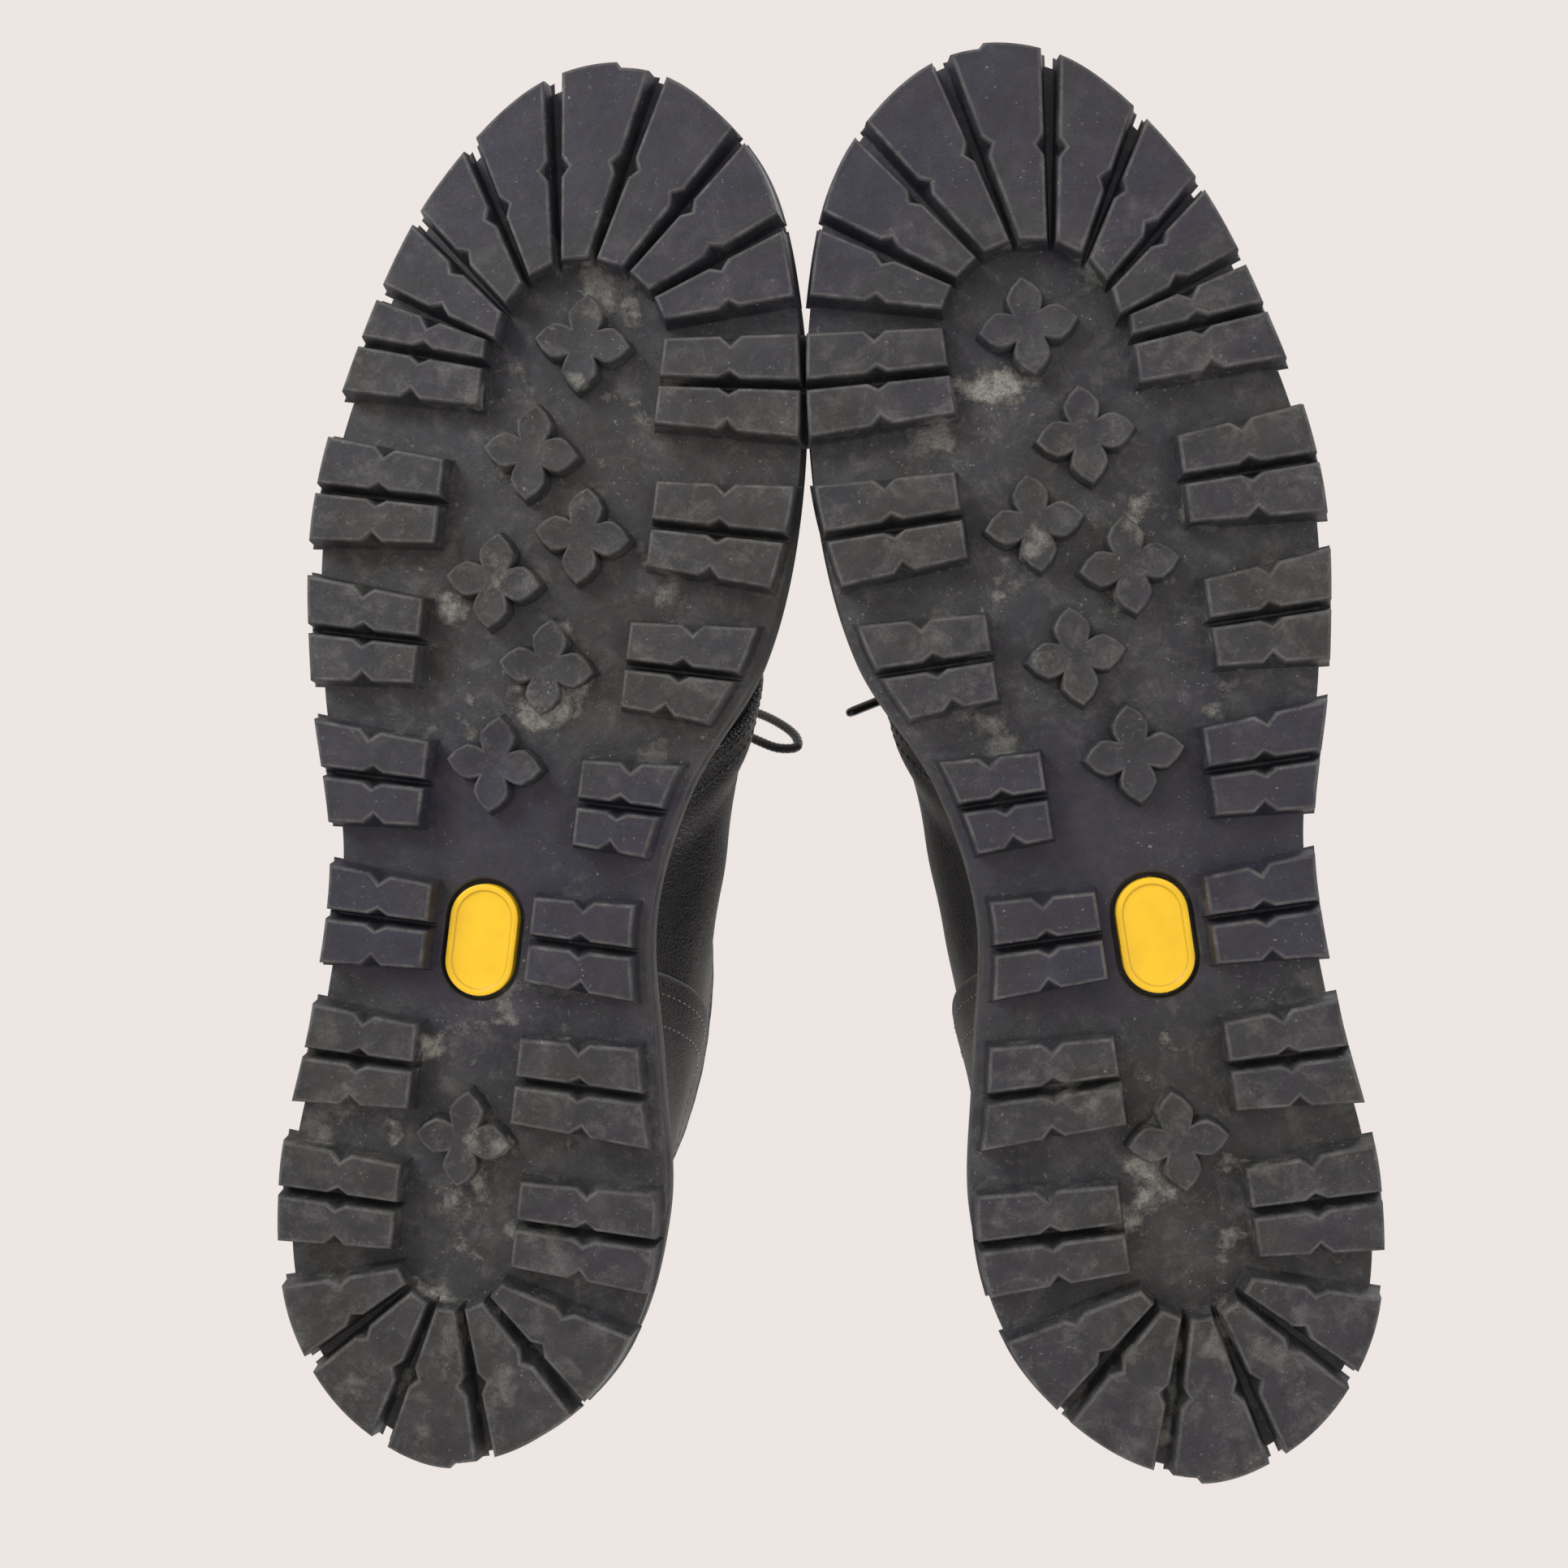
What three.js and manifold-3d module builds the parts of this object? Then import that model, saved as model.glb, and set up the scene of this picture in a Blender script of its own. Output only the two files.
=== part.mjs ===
// Pair of black leather lace-up work boots on one-piece lugged rubber soles.
// Millimetres, +Z up, treads on z = 0, toes towards -Y, the right boot on the -X side.
// Every piece of one boot is made in that boot's own frame: x to the outside of the foot,
// y from the back of the heel to the toe, z up. The left boot is the mirror of the right.

import * as THREE from 'three';
import { mergeVertices } from 'three/addons/utils/BufferGeometryUtils.js';
import Module from 'manifold-3d';

const wasm = await Module();
wasm.setup();

// Driving dimensions
const SOLE_LENGTH = 310;
const SOLE_WIDTH = 107;
const COLLAR_RISE = 133;
const TOE_IN = THREE.MathUtils.degToRad(7.65);
const BOOT_GAP = 0.25;

// Sole stack, from the ground up
const LUG_DEPTH = 6;
const WEB_THICKNESS = 5;
const MIDSOLE_THICKNESS = 4;
const WELT_THICKNESS = 2.7;
const INSOLE_THICKNESS = 2.5;
const FOOTBED_THICKNESS = 4.5;
const CEMENT_GAP = 0.3;

const WEB_BOTTOM = LUG_DEPTH;
const MIDSOLE_BOTTOM = WEB_BOTTOM + WEB_THICKNESS + CEMENT_GAP;
const WELT_BOTTOM = MIDSOLE_BOTTOM + MIDSOLE_THICKNESS + CEMENT_GAP;
const FEATHER_LINE = WELT_BOTTOM + WELT_THICKNESS + CEMENT_GAP;
const FOOTBED_BOTTOM = FEATHER_LINE + INSOLE_THICKNESS + CEMENT_GAP;

// How far inside the sole's edge each layer lies
const WEB_INSET = 1;
const MIDSOLE_INSET = 0.5;
const LAST_INSET = 11;
const WELT_INNER_INSET = LAST_INSET + 1.5;
const BOARD_CLEARANCE = 2.6;
const BOARD_FIT = 0.1;

// Wall of the upper, measured outwards from the last
const LINING = [0, 1.2];
const STIFFENER = [1.5, 2.7];
const LEATHER = [3, 4.8];
const OVERLAY = [5.3, 6.7];
const TONGUE = [-3.6, -0.3];

// Tread
const LUG_OVERHANG = 1.2;
const RIM_WIDTH = 2.4;
const STUD_DEPTH = 4.6;
const PAIR_FIRST = 55;
const PAIR_PITCH = 31;
const PAIR_GROOVE = 1.8;
const LUG_INNER_LENGTH = 8.6;
const LUG_OUTER_LENGTH = 11.4;
const NOTCH_DEPTH = 2;
const NOTCH_HALF = 2.2;
const NOTCH_PLACE = 0.58;

// Lace
const LACE_DIAMETER = 2.7;
const AGLET_DIAMETER = 3;
const AGLET_LENGTH = 20;
const EYELET_PAIRS = 6;

const deg = THREE.MathUtils.degToRad;
const lerp = THREE.MathUtils.lerp;
const smoothstep = THREE.MathUtils.smoothstep;

// Finishes
function finish(color, roughness, metalness = 0) {
  return new THREE.MeshStandardMaterial({ color, roughness, metalness });
}

const treadRubber = finish(0x3b3a40, 0.75);
const midsoleRubber = finish(0x474649, 0.8);
const yellowRubber = finish(0xf2c21e, 0.5);
const leather = finish(0x242424, 0.6);
const liningLeather = finish(0x4a443c, 0.85);
const board = finish(0x8a6a48, 0.9);
const cork = finish(0xa9794b, 0.95);
const steel = finish(0x9a9c9e, 0.35, 1);
const foam = finish(0x2c2c2e, 0.95);
const laceCord = finish(0x161616, 0.8);
const aglet = finish(0x101010, 0.3);

// Solids

function solidFrom(geometry) {
  const bare = geometry.clone();
  bare.deleteAttribute('normal');
  bare.deleteAttribute('uv');
  const merged = mergeVertices(bare, 1e-4);
  return new wasm.Manifold(new wasm.Mesh({
    numProp: 3,
    vertProperties: new Float32Array(merged.attributes.position.array),
    triVerts: new Uint32Array(merged.index.array),
  }));
}

function geometryFrom(solid) {
  const mesh = solid.getMesh();
  const geometry = new THREE.BufferGeometry();
  geometry.setAttribute('position', new THREE.BufferAttribute(mesh.vertProperties, 3));
  geometry.setIndex(new THREE.BufferAttribute(mesh.triVerts, 1));
  geometry.computeVertexNormals();
  return geometry;
}

function prism(outline, bottom, top, hole = null) {
  const shape = new THREE.Shape(outline);
  if (hole) {
    shape.holes.push(new THREE.Path(hole));
  }
  const geometry = new THREE.ExtrudeGeometry(shape, { depth: top - bottom, bevelEnabled: false });
  return geometry.translate(0, 0, bottom);
}

function stadium(length, width) {
  const radius = width / 2;
  const reach = length / 2 - radius;
  const shape = new THREE.Shape();
  shape.absarc(0, reach, radius, 0, Math.PI);
  shape.absarc(0, -reach, radius, Math.PI, 2 * Math.PI);
  return shape.getPoints(7);
}

function placed(points, x, y) {
  return points.map((point) => new THREE.Vector2(point.x + x, point.y + y));
}

// Tube of round section along a list of points, closed at both ends
function cordAlong(points, diameter, steps) {
  const path = new THREE.CatmullRomCurve3(points, false, 'centripetal');
  const section = new THREE.Shape();
  for (let side = 0; side < 8; side += 1) {
    const angle = side * Math.PI / 4;
    const x = Math.cos(angle) * diameter / 2;
    const y = Math.sin(angle) * diameter / 2;
    if (side === 0) {
      section.moveTo(x, y);
    } else {
      section.lineTo(x, y);
    }
  }
  return new THREE.ExtrudeGeometry(section, { extrudePath: path, steps, curveSegments: 1 });
}

// Outline of the sole, as shares of its width and length, from the back of the heel round the
// outside to the toe and back down the inside
const outlineShape = [
  [0.03, 0], [0.23, 0.026], [0.374, 0.087], [0.432, 0.187], [0.405, 0.306], [0.405, 0.419],
  [0.488, 0.539], [0.528, 0.658], [0.477, 0.774], [0.35, 0.897], [0.14, 0.982],
  [-0.084, 0.996], [-0.308, 0.942], [-0.425, 0.845], [-0.473, 0.703], [-0.437, 0.59],
  [-0.315, 0.494], [-0.271, 0.4], [-0.325, 0.294], [-0.374, 0.19], [-0.322, 0.09],
  [-0.15, 0.021],
];

const soleCurve = new THREE.CatmullRomCurve3(
  outlineShape.map(([x, y]) => new THREE.Vector3(x * SOLE_WIDTH, y * SOLE_LENGTH, 0)),
  true,
  'centripetal',
);

// The outline moved inwards by a distance, which may depend on the place
function insetOutline(distance, count) {
  const points = [];
  for (let i = 0; i < count; i += 1) {
    const at = soleCurve.getPointAt(i / count);
    const tangent = soleCurve.getTangentAt(i / count);
    const inset = typeof distance === 'function' ? distance(at) : distance;
    points.push(new THREE.Vector2(at.x - tangent.y * inset, at.y + tangent.x * inset));
  }
  return points;
}

// Outsole: web, lugs, studs and the seat of the insert, moulded in one piece

const INSERT_PLACE = [8.5, 115];
const INSERT_SIZE = [26.5, 17];
const INSERT_SEAT = 2.4;
const INSERT_CLEARANCE = 0.4;
const INSERT_BORDER = 3;
const INSERT_PROUD = 0.8;
const INSERT_DISH = 0.4;

// Distance of the lugs' inner ends from the boot's middle line, for each pair from heel to toe
const outerPairInner = [19, 19, 19.5, 24, 29, 28, 22];
const innerPairInner = [7.5, 3.7, 3, 10, 17, 19, 17];

// A lug between two long sides, each with a small V notch
function lugOutline(sideA, sideB) {
  const inward = (from, to, other) => {
    const along = new THREE.Vector2().subVectors(to, from);
    const across = new THREE.Vector2(-along.y, along.x).normalize();
    const towards = new THREE.Vector2().subVectors(other, from);
    return across.multiplyScalar(Math.sign(across.dot(towards)));
  };
  const notch = ([from, to], other) => {
    const length = from.distanceTo(to);
    const apex = from.clone().lerp(to, NOTCH_PLACE);
    apex.addScaledVector(inward(from, to, other), NOTCH_DEPTH);
    const before = from.clone().lerp(to, NOTCH_PLACE - NOTCH_HALF / length);
    const after = from.clone().lerp(to, NOTCH_PLACE + NOTCH_HALF / length);
    return [from, before, apex, after, to];
  };
  const first = notch(sideA, sideB[0]);
  const second = notch(sideB, sideA[0]);
  return [...first, ...second.reverse()];
}

// Lugs of one side, in pairs at a constant pitch
function sideLugs(side, innerEnds) {
  const lugs = [];
  const reach = SOLE_WIDTH / 2 + 8;
  innerEnds.forEach((inner, index) => {
    const middle = PAIR_FIRST + PAIR_PITCH * index;
    const tilt = index === innerEnds.length - 1 ? 3 : 0;
    for (const half of [-1, 1]) {
      const near = half * PAIR_GROOVE / 2;
      const sideA = [
        new THREE.Vector2(side * inner, middle + near),
        new THREE.Vector2(side * reach, middle + near + tilt),
      ];
      const sideB = [
        new THREE.Vector2(side * inner, middle + near + half * LUG_INNER_LENGTH),
        new THREE.Vector2(side * reach, middle + near + tilt + half * LUG_OUTER_LENGTH),
      ];
      lugs.push(lugOutline(sideA, sideB));
    }
  });
  return lugs;
}

// Half widths of the grooves of a fan, at its middle and at its reach
const FAN_GROOVE_INNER = 0.8;
const FAN_GROOVE_OUTER = 2.4;

// Lugs that radiate round the toe or the heel: grooves at equal angles, wider at the edge
function fanLugs(fan) {
  const lugs = [];
  const ray = (radius, angle, shift) => new THREE.Vector2(
    fan.x + radius * Math.cos(deg(angle)) - shift * Math.sin(deg(angle)),
    fan.y + radius * Math.sin(deg(angle)) + shift * Math.cos(deg(angle)),
  );
  for (let index = 0; index < fan.count; index += 1) {
    const sides = [index, index + 1].map((groove, end) => {
      const shift = end === 0 ? 1 : -1;
      const inner = fan.innerFrom + fan.innerStep * groove;
      const outer = fan.outerFrom + fan.outerStep * groove;
      const wide = fan.wideGrooves.includes(groove) ? fan.wide : 1;
      return [
        ray(fan.radius, inner, shift * FAN_GROOVE_INNER * wide),
        ray(fan.reach, outer, shift * FAN_GROOVE_OUTER * wide),
      ];
    });
    lugs.push(lugOutline(sides[0], sides[1]));
  }
  return lugs;
}

const toeFan = {
  x: 1, y: 247, radius: 19, reach: 80, count: 7,
  innerFrom: -4, innerStep: 23.7, outerFrom: 13, outerStep: 21.8,
  wideGrooves: [7], wide: 1.6,
};
const heelFan = {
  x: 5.5, y: 47, radius: 12.5, reach: 62, count: 5,
  innerFrom: 197, innerStep: 29.2, outerFrom: 192, outerStep: 30.8,
  wideGrooves: [0, 5], wide: 1.8,
};

// Four-petal studs down the middle of the forefoot and one under the heel
const studs = [
  [1, 248], [9.5, 223], [-4, 206], [14.5, 194], [0.5, 176.5], [9.5, 154],
  [6.5, 71.5],
];
const STUD_REACH = 10.3;
const STUD_SHOULDER = 6.6;
const PETAL_HALF = 3.8;

function studOutline(x, y) {
  const points = [];
  for (let petal = 0; petal < 4; petal += 1) {
    const turn = petal * Math.PI / 2;
    const petalPoints = [
      [PETAL_HALF, PETAL_HALF],
      [PETAL_HALF, STUD_SHOULDER],
      [0, STUD_REACH],
      [-PETAL_HALF, STUD_SHOULDER],
    ];
    for (const [px, py] of petalPoints) {
      points.push(new THREE.Vector2(
        x + px * Math.cos(turn) - py * Math.sin(turn),
        y + px * Math.sin(turn) + py * Math.cos(turn),
      ));
    }
  }
  return points;
}

// The lugs hang over the web's outer edge and stop short of its inner edge at the waist
function treadInset(at) {
  if (at.x > 0) {
    return -LUG_OVERHANG + WEB_INSET;
  }
  const waist = smoothstep(at.y, 45, 90) * (1 - smoothstep(at.y, 185, 225));
  return WEB_INSET + RIM_WIDTH * waist;
}

function outsoleGeometry() {
  let lugs = null;
  const outlines = [
    ...sideLugs(1, outerPairInner),
    ...sideLugs(-1, innerPairInner),
    ...fanLugs(toeFan),
    ...fanLugs(heelFan),
  ];
  for (const outline of outlines) {
    const lug = solidFrom(prism(outline, 0, LUG_DEPTH + 0.5));
    lugs = lugs ? lugs.add(lug) : lug;
  }
  const tread = solidFrom(prism(insetOutline(treadInset, 72), -1, LUG_DEPTH + 1));
  let sole = solidFrom(prism(insetOutline(WEB_INSET, 64), WEB_BOTTOM, WEB_BOTTOM + WEB_THICKNESS));
  sole = sole.add(lugs.intersect(tread));
  for (const [x, y] of studs) {
    sole = sole.add(solidFrom(prism(studOutline(x, y), LUG_DEPTH - STUD_DEPTH, LUG_DEPTH + 0.5)));
  }
  const [length, width] = INSERT_SIZE;
  const seat = placed(stadium(length, width), ...INSERT_PLACE);
  return geometryFrom(sole.subtract(solidFrom(prism(seat, -1, WEB_BOTTOM + INSERT_SEAT))));
}

function insertGeometry() {
  const [length, width] = INSERT_SIZE;
  const trim = 2 * INSERT_CLEARANCE;
  const outer = placed(stadium(length - trim, width - trim), ...INSERT_PLACE);
  const border = 2 * INSERT_BORDER;
  const dish = placed(stadium(length - border, width - border), ...INSERT_PLACE);
  const top = WEB_BOTTOM + INSERT_SEAT - CEMENT_GAP;
  const bottom = WEB_BOTTOM - INSERT_PROUD;
  const body = solidFrom(prism(outer, bottom, top));
  return geometryFrom(body.subtract(solidFrom(prism(dish, bottom - 1, bottom + INSERT_DISH))));
}

// Sole layers above the rubber

const SHANK = { x: 5, from: 62, to: 172, width: 18, thickness: 1.6 };

function stripOutline(strip, margin) {
  const length = strip.to - strip.from + 2 * margin;
  return placed(stadium(length, strip.width + 2 * margin), strip.x, (strip.from + strip.to) / 2);
}

function fillerGeometry() {
  const filler = solidFrom(prism(
    insetOutline(WELT_INNER_INSET + 0.5, 40),
    WELT_BOTTOM,
    FEATHER_LINE - CEMENT_GAP,
  ));
  const slot = solidFrom(prism(stripOutline(SHANK, 0.5), WELT_BOTTOM - 1, FEATHER_LINE));
  return geometryFrom(filler.subtract(slot));
}

// The last: rings that climb from the welt to the collar. Each ring gives the front and the back
// point (y as a share of the sole's length, z as a share of the collar's rise), the half width as
// a share of the sole's width, the roundness and taper of its plan, how far it has turned from
// the sole's outline into an oval, and how far its middle lies to the outside.
const rings = [
  {
    at: 0, frontY: 0.965, frontZ: 0, backY: 0.039, backZ: 0,
    half: 0.393, power: 0.42, taper: -0.12, oval: 0, lean: 0.028,
  },
  {
    at: 0.1, frontY: 0.961, frontZ: 0.135, backY: 0.028, backZ: 0.113,
    half: 0.385, power: 0.38, taper: -0.12, oval: 0.35, lean: 0.028,
  },
  {
    at: 0.2, frontY: 0.929, frontZ: 0.248, backY: 0.024, backZ: 0.211,
    half: 0.358, power: 0.4, taper: -0.08, oval: 0.75, lean: 0.028,
  },
  {
    at: 0.31, frontY: 0.858, frontZ: 0.316, backY: 0.029, backZ: 0.308,
    half: 0.328, power: 0.43, taper: -0.02, oval: 1, lean: 0.028,
  },
  {
    at: 0.43, frontY: 0.761, frontZ: 0.376, backY: 0.037, backZ: 0.398,
    half: 0.308, power: 0.48, taper: 0.03, oval: 1, lean: 0.03,
  },
  {
    at: 0.55, frontY: 0.674, frontZ: 0.459, backY: 0.047, backZ: 0.496,
    half: 0.294, power: 0.5, taper: 0.06, oval: 1, lean: 0.034,
  },
  {
    at: 0.67, frontY: 0.606, frontZ: 0.579, backY: 0.055, backZ: 0.602,
    half: 0.285, power: 0.5, taper: 0.08, oval: 1, lean: 0.04,
  },
  {
    at: 0.78, frontY: 0.552, frontZ: 0.714, backY: 0.06, backZ: 0.707,
    half: 0.28, power: 0.5, taper: 0.08, oval: 1, lean: 0.046,
  },
  {
    at: 0.89, frontY: 0.51, frontZ: 0.857, backY: 0.058, backZ: 0.842,
    half: 0.276, power: 0.5, taper: 0.05, oval: 1, lean: 0.052,
  },
  {
    at: 1, frontY: 0.481, frontZ: 1, backY: 0.048, backZ: 0.97,
    half: 0.272, power: 0.5, taper: 0.02, oval: 1, lean: 0.06,
  },
];

// Smooth value between the rings: cubic through each ring with slopes from its neighbours
function ringAt(s) {
  let k = 0;
  while (k < rings.length - 2 && s > rings[k + 1].at) {
    k += 1;
  }
  const slope = (index, key) => {
    const low = rings[Math.max(index - 1, 0)];
    const high = rings[Math.min(index + 1, rings.length - 1)];
    return (high[key] - low[key]) / (high.at - low.at);
  };
  const span = rings[k + 1].at - rings[k].at;
  const t = (s - rings[k].at) / span;
  const value = {};
  for (const key of Object.keys(rings[0])) {
    const a = rings[k][key];
    const b = rings[k + 1][key];
    const ma = slope(k, key) * span;
    const mb = slope(k + 1, key) * span;
    value[key] = a + t * (ma + t * (3 * (b - a) - 2 * ma - mb + t * (2 * (a - b) + ma + mb)));
  }
  return value;
}

const lastLoop = insetOutline(LAST_INSET, 240);
const lastFront = lastLoop.reduce((best, point) => (point.y > best.y ? point : best));
const lastBack = lastLoop.reduce((best, point) => (point.y < best.y ? point : best));

// Where the last's edge on one side crosses a given y
function lastSide(y, side) {
  let found = y > (lastFront.y + lastBack.y) / 2 ? lastFront.x : lastBack.x;
  lastLoop.forEach((point, index) => {
    const next = lastLoop[(index + 1) % lastLoop.length];
    if ((point.y - y) * (next.y - y) < 0) {
      const x = lerp(point.x, next.x, (y - point.y) / (next.y - point.y));
      found = side > 0 ? Math.max(found, x) : Math.min(found, x);
    }
  });
  return found;
}

// A point of the last: theta runs round from the front (0) by the outside (90) to the back (180)
// and s from the welt (0) to the collar (1)
function lastPoint(theta, s) {
  if (s > 1) {
    const top = lastPoint(theta, 1);
    const below = lastPoint(theta, 0.98);
    return top.clone().addScaledVector(top.clone().sub(below), (s - 1) / 0.02);
  }
  const ring = ringAt(Math.max(s, 0));
  const angle = deg(theta);
  const side = Math.sin(angle) >= 0 ? 1 : -1;
  const q = (1 - Math.cos(angle)) / 2;
  const bow = Math.pow(Math.max(4 * q * (1 - q), 0), ring.power) * (1 + ring.taper * (2 * q - 1));
  const oval = (ring.lean + side * ring.half * bow) * SOLE_WIDTH;
  const trodden = lastSide(lerp(lastFront.y, lastBack.y, q), side);
  return new THREE.Vector3(
    lerp(trodden, oval, ring.oval),
    lerp(ring.frontY, ring.backY, q) * SOLE_LENGTH,
    FEATHER_LINE + lerp(ring.frontZ, ring.backZ, q) * COLLAR_RISE,
  );
}

// A point of the upper at a distance outside the last
function upperPoint(theta, s, offset) {
  const round = lastPoint(theta + 2, s).sub(lastPoint(theta - 2, s));
  const low = Math.max(s - 0.02, 0);
  const rise = lastPoint(theta, low + 0.04).sub(lastPoint(theta, low));
  const normal = rise.cross(round);
  if (s < 0.01) {
    normal.z = 0;
  }
  return lastPoint(theta, s).addScaledVector(normal.normalize(), offset);
}

// Lines that every layer of the upper is creased along, so that neighbours nest
const CREASE_STEP = 18;
const creaseHeights = [0, 0.08, 0.19, 0.31, 0.4, 0.46, 0.53, 0.68, 0.84, 1];
const CREASE_MERGE = 1;

// The creased last's outline at one height, moved in by a clearance
function lastSection(height, clearance) {
  return creaseAngles(-1, 359).map((theta) => {
    const low = creaseHeights.findLastIndex((s) => upperPoint(theta, s, -clearance).z < height);
    const below = upperPoint(theta, creaseHeights[Math.max(low, 0)], -clearance);
    const above = upperPoint(theta, creaseHeights[Math.max(low, 0) + 1], -clearance);
    below.lerp(above, (height - below.z) / (above.z - below.z));
    return new THREE.Vector2(below.x, below.y);
  });
}

// The board follows the sole's outline, trimmed where the lining leans in over it
function boardGeometry() {
  const top = FEATHER_LINE + INSOLE_THICKNESS;
  let body = solidFrom(prism(insetOutline(LAST_INSET + BOARD_CLEARANCE, 36), FEATHER_LINE, top));
  for (const height of [FEATHER_LINE, (FEATHER_LINE + top) / 2, top]) {
    body = body.intersect(solidFrom(prism(lastSection(height, BOARD_FIT), 0, top + 1)));
  }
  return geometryFrom(body);
}

function creaseAngles(from, to) {
  const angles = [];
  for (let angle = -360; angle <= 360; angle += CREASE_STEP) {
    if (angle > from && angle < to) {
      angles.push(angle);
    }
  }
  return angles;
}

function nearestEdge(angle, from, to) {
  if (angle < from + CREASE_MERGE) {
    return from;
  }
  return angle > to - CREASE_MERGE ? to : angle;
}

// A closed panel of the upper between two edges, two heights and two distances from the last
function panel({ edges, heights, wall }) {
  const levels = [
    heights[0],
    ...creaseHeights.filter((s) => s > heights[0] + 0.01 && s < heights[1] - 0.01),
    heights[1],
  ];
  const limits = levels.map(edges);
  const widest = [Math.min(...limits.map(([from]) => from)), Math.max(...limits.map(([, to]) => to))];
  const columns = [widest[0], ...creaseAngles(...widest), widest[1]];
  const positions = [];
  const layers = [wall[1], wall[0]].map((offset) => levels.map((s, level) => {
    const [from, to] = limits[level];
    let last = null;
    return columns.map((column) => {
      const angle = nearestEdge(column, from, to);
      if (angle !== last) {
        positions.push(...upperPoint(angle, s, offset).toArray());
        last = angle;
      }
      return positions.length / 3 - 1;
    });
  }));
  const indices = [];
  const triangle = (a, b, c) => {
    if (a !== b && b !== c && c !== a) {
      indices.push(a, b, c);
    }
  };
  const quad = (a, b, c, d) => {
    triangle(a, b, c);
    triangle(a, c, d);
  };
  const [outside, inside] = layers;
  const top = levels.length - 1;
  const end = columns.length - 1;
  for (let j = 0; j < top; j += 1) {
    for (let i = 0; i < end; i += 1) {
      quad(outside[j][i], outside[j][i + 1], outside[j + 1][i + 1], outside[j + 1][i]);
      quad(inside[j][i], inside[j + 1][i], inside[j + 1][i + 1], inside[j][i + 1]);
    }
    quad(outside[j][0], outside[j + 1][0], inside[j + 1][0], inside[j][0]);
    quad(outside[j][end], inside[j][end], inside[j + 1][end], outside[j + 1][end]);
  }
  for (let i = 0; i < end; i += 1) {
    quad(outside[0][i], inside[0][i], inside[0][i + 1], outside[0][i + 1]);
    quad(outside[top][i], outside[top][i + 1], inside[top][i + 1], inside[top][i]);
  }
  const geometry = new THREE.BufferGeometry();
  geometry.setAttribute('position', new THREE.Float32BufferAttribute(positions, 3));
  geometry.setIndex(indices);
  const solid = solidVolume(geometry) < 0 ? flipped(geometry) : geometry;
  solid.computeVertexNormals();
  return solid;
}

function solidVolume(geometry) {
  const corner = (index) => new THREE.Vector3().fromBufferAttribute(geometry.attributes.position, index);
  let volume = 0;
  for (let i = 0; i < geometry.index.count; i += 3) {
    const [a, b, c] = [0, 1, 2].map((turn) => corner(geometry.index.getX(i + turn)));
    volume += a.dot(b.cross(c)) / 6;
  }
  return volume;
}

function flipped(geometry) {
  const index = Array.from(geometry.index.array);
  for (let i = 0; i < index.length; i += 3) {
    [index[i + 1], index[i + 2]] = [index[i + 2], index[i + 1]];
  }
  geometry.setIndex(index);
  return geometry;
}

// Pattern lines of the upper, in degrees round the last

const SEAM_GAP = 0.7;
const THROAT = 0.53;
const OPENING = 24;
const VAMP_FOOT = 92;
const FACING_BACK = 49;
const POCKET_FRONT = 108;

// Front edge of the quarter: up the side of the foot, then straight beside the opening
function quarterFront(s) {
  const climb = Math.min(s / THROAT, 1);
  return OPENING + (VAMP_FOOT - OPENING) * (1 - climb ** 1.8);
}

const upperPanels = [
  {
    name: 'vamp', material: leather, wall: LEATHER, heights: [0, THROAT - 0.012],
    edges: (s) => [-quarterFront(s) + SEAM_GAP, quarterFront(s) - SEAM_GAP],
  },
  {
    name: 'quarter_lateral', material: leather, wall: LEATHER, heights: [0, 1],
    edges: (s) => [quarterFront(s), 180 - SEAM_GAP],
  },
  {
    name: 'quarter_medial', material: leather, wall: LEATHER, heights: [0, 1],
    edges: (s) => [-180 + SEAM_GAP, -quarterFront(s)],
  },
  {
    name: 'vamp_lining', material: liningLeather, wall: LINING, heights: [0, THROAT - 0.012],
    edges: (s) => [-quarterFront(s) + SEAM_GAP, quarterFront(s) - SEAM_GAP],
  },
  {
    name: 'quarter_lining', material: liningLeather, wall: LINING, heights: [0, 1],
    edges: (s) => [quarterFront(s), 360 - quarterFront(s)],
  },
  {
    name: 'toe_puff', material: board, wall: STIFFENER, heights: [0.01, 0.31],
    edges: () => [-54, 54],
  },
  {
    name: 'heel_counter', material: board, wall: STIFFENER, heights: [0.01, 0.4],
    edges: () => [126, 234],
  },
  {
    name: 'counter_pocket', material: leather, wall: OVERLAY, heights: [0, 0.452],
    edges: () => [POCKET_FRONT, 360 - POCKET_FRONT],
  },
  {
    name: 'backstay', material: leather, wall: OVERLAY, heights: [0.462, 1],
    edges: () => [171, 189],
  },
  {
    name: 'facing_lateral', material: leather, wall: OVERLAY, heights: [THROAT, 1],
    edges: () => [OPENING, FACING_BACK],
  },
  {
    name: 'facing_medial', material: leather, wall: OVERLAY, heights: [THROAT, 1],
    edges: () => [-FACING_BACK, -OPENING],
  },
  {
    name: 'collar_binding', material: leather, wall: [0, 4.8], heights: [1.006, 1.038],
    edges: () => [OPENING, 360 - OPENING],
  },
  {
    name: 'tongue', material: leather, wall: TONGUE, heights: [0.46, 1.08],
    edges: (s) => [-40 + 8 * (s - 0.46), 40 - 8 * (s - 0.46)],
  },
];

// Lace held in the eyelets: two strands that cross between the facings

const EYELET_ANGLE = 36;
const EDGE_ANGLE = 19;
const FIRST_EYELET = 0.565;
const LAST_EYELET = 0.955;
const EYELET_BEND = 0.012;
const LACE_LIFT = OVERLAY[1] + LACE_DIAMETER / 2 + 1.3;
const CROSS_OVER = LACE_LIFT + 0.7;
const CROSS_UNDER = LACE_LIFT - 3;
const STEPS_PER_CROSSING = 8;

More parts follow.
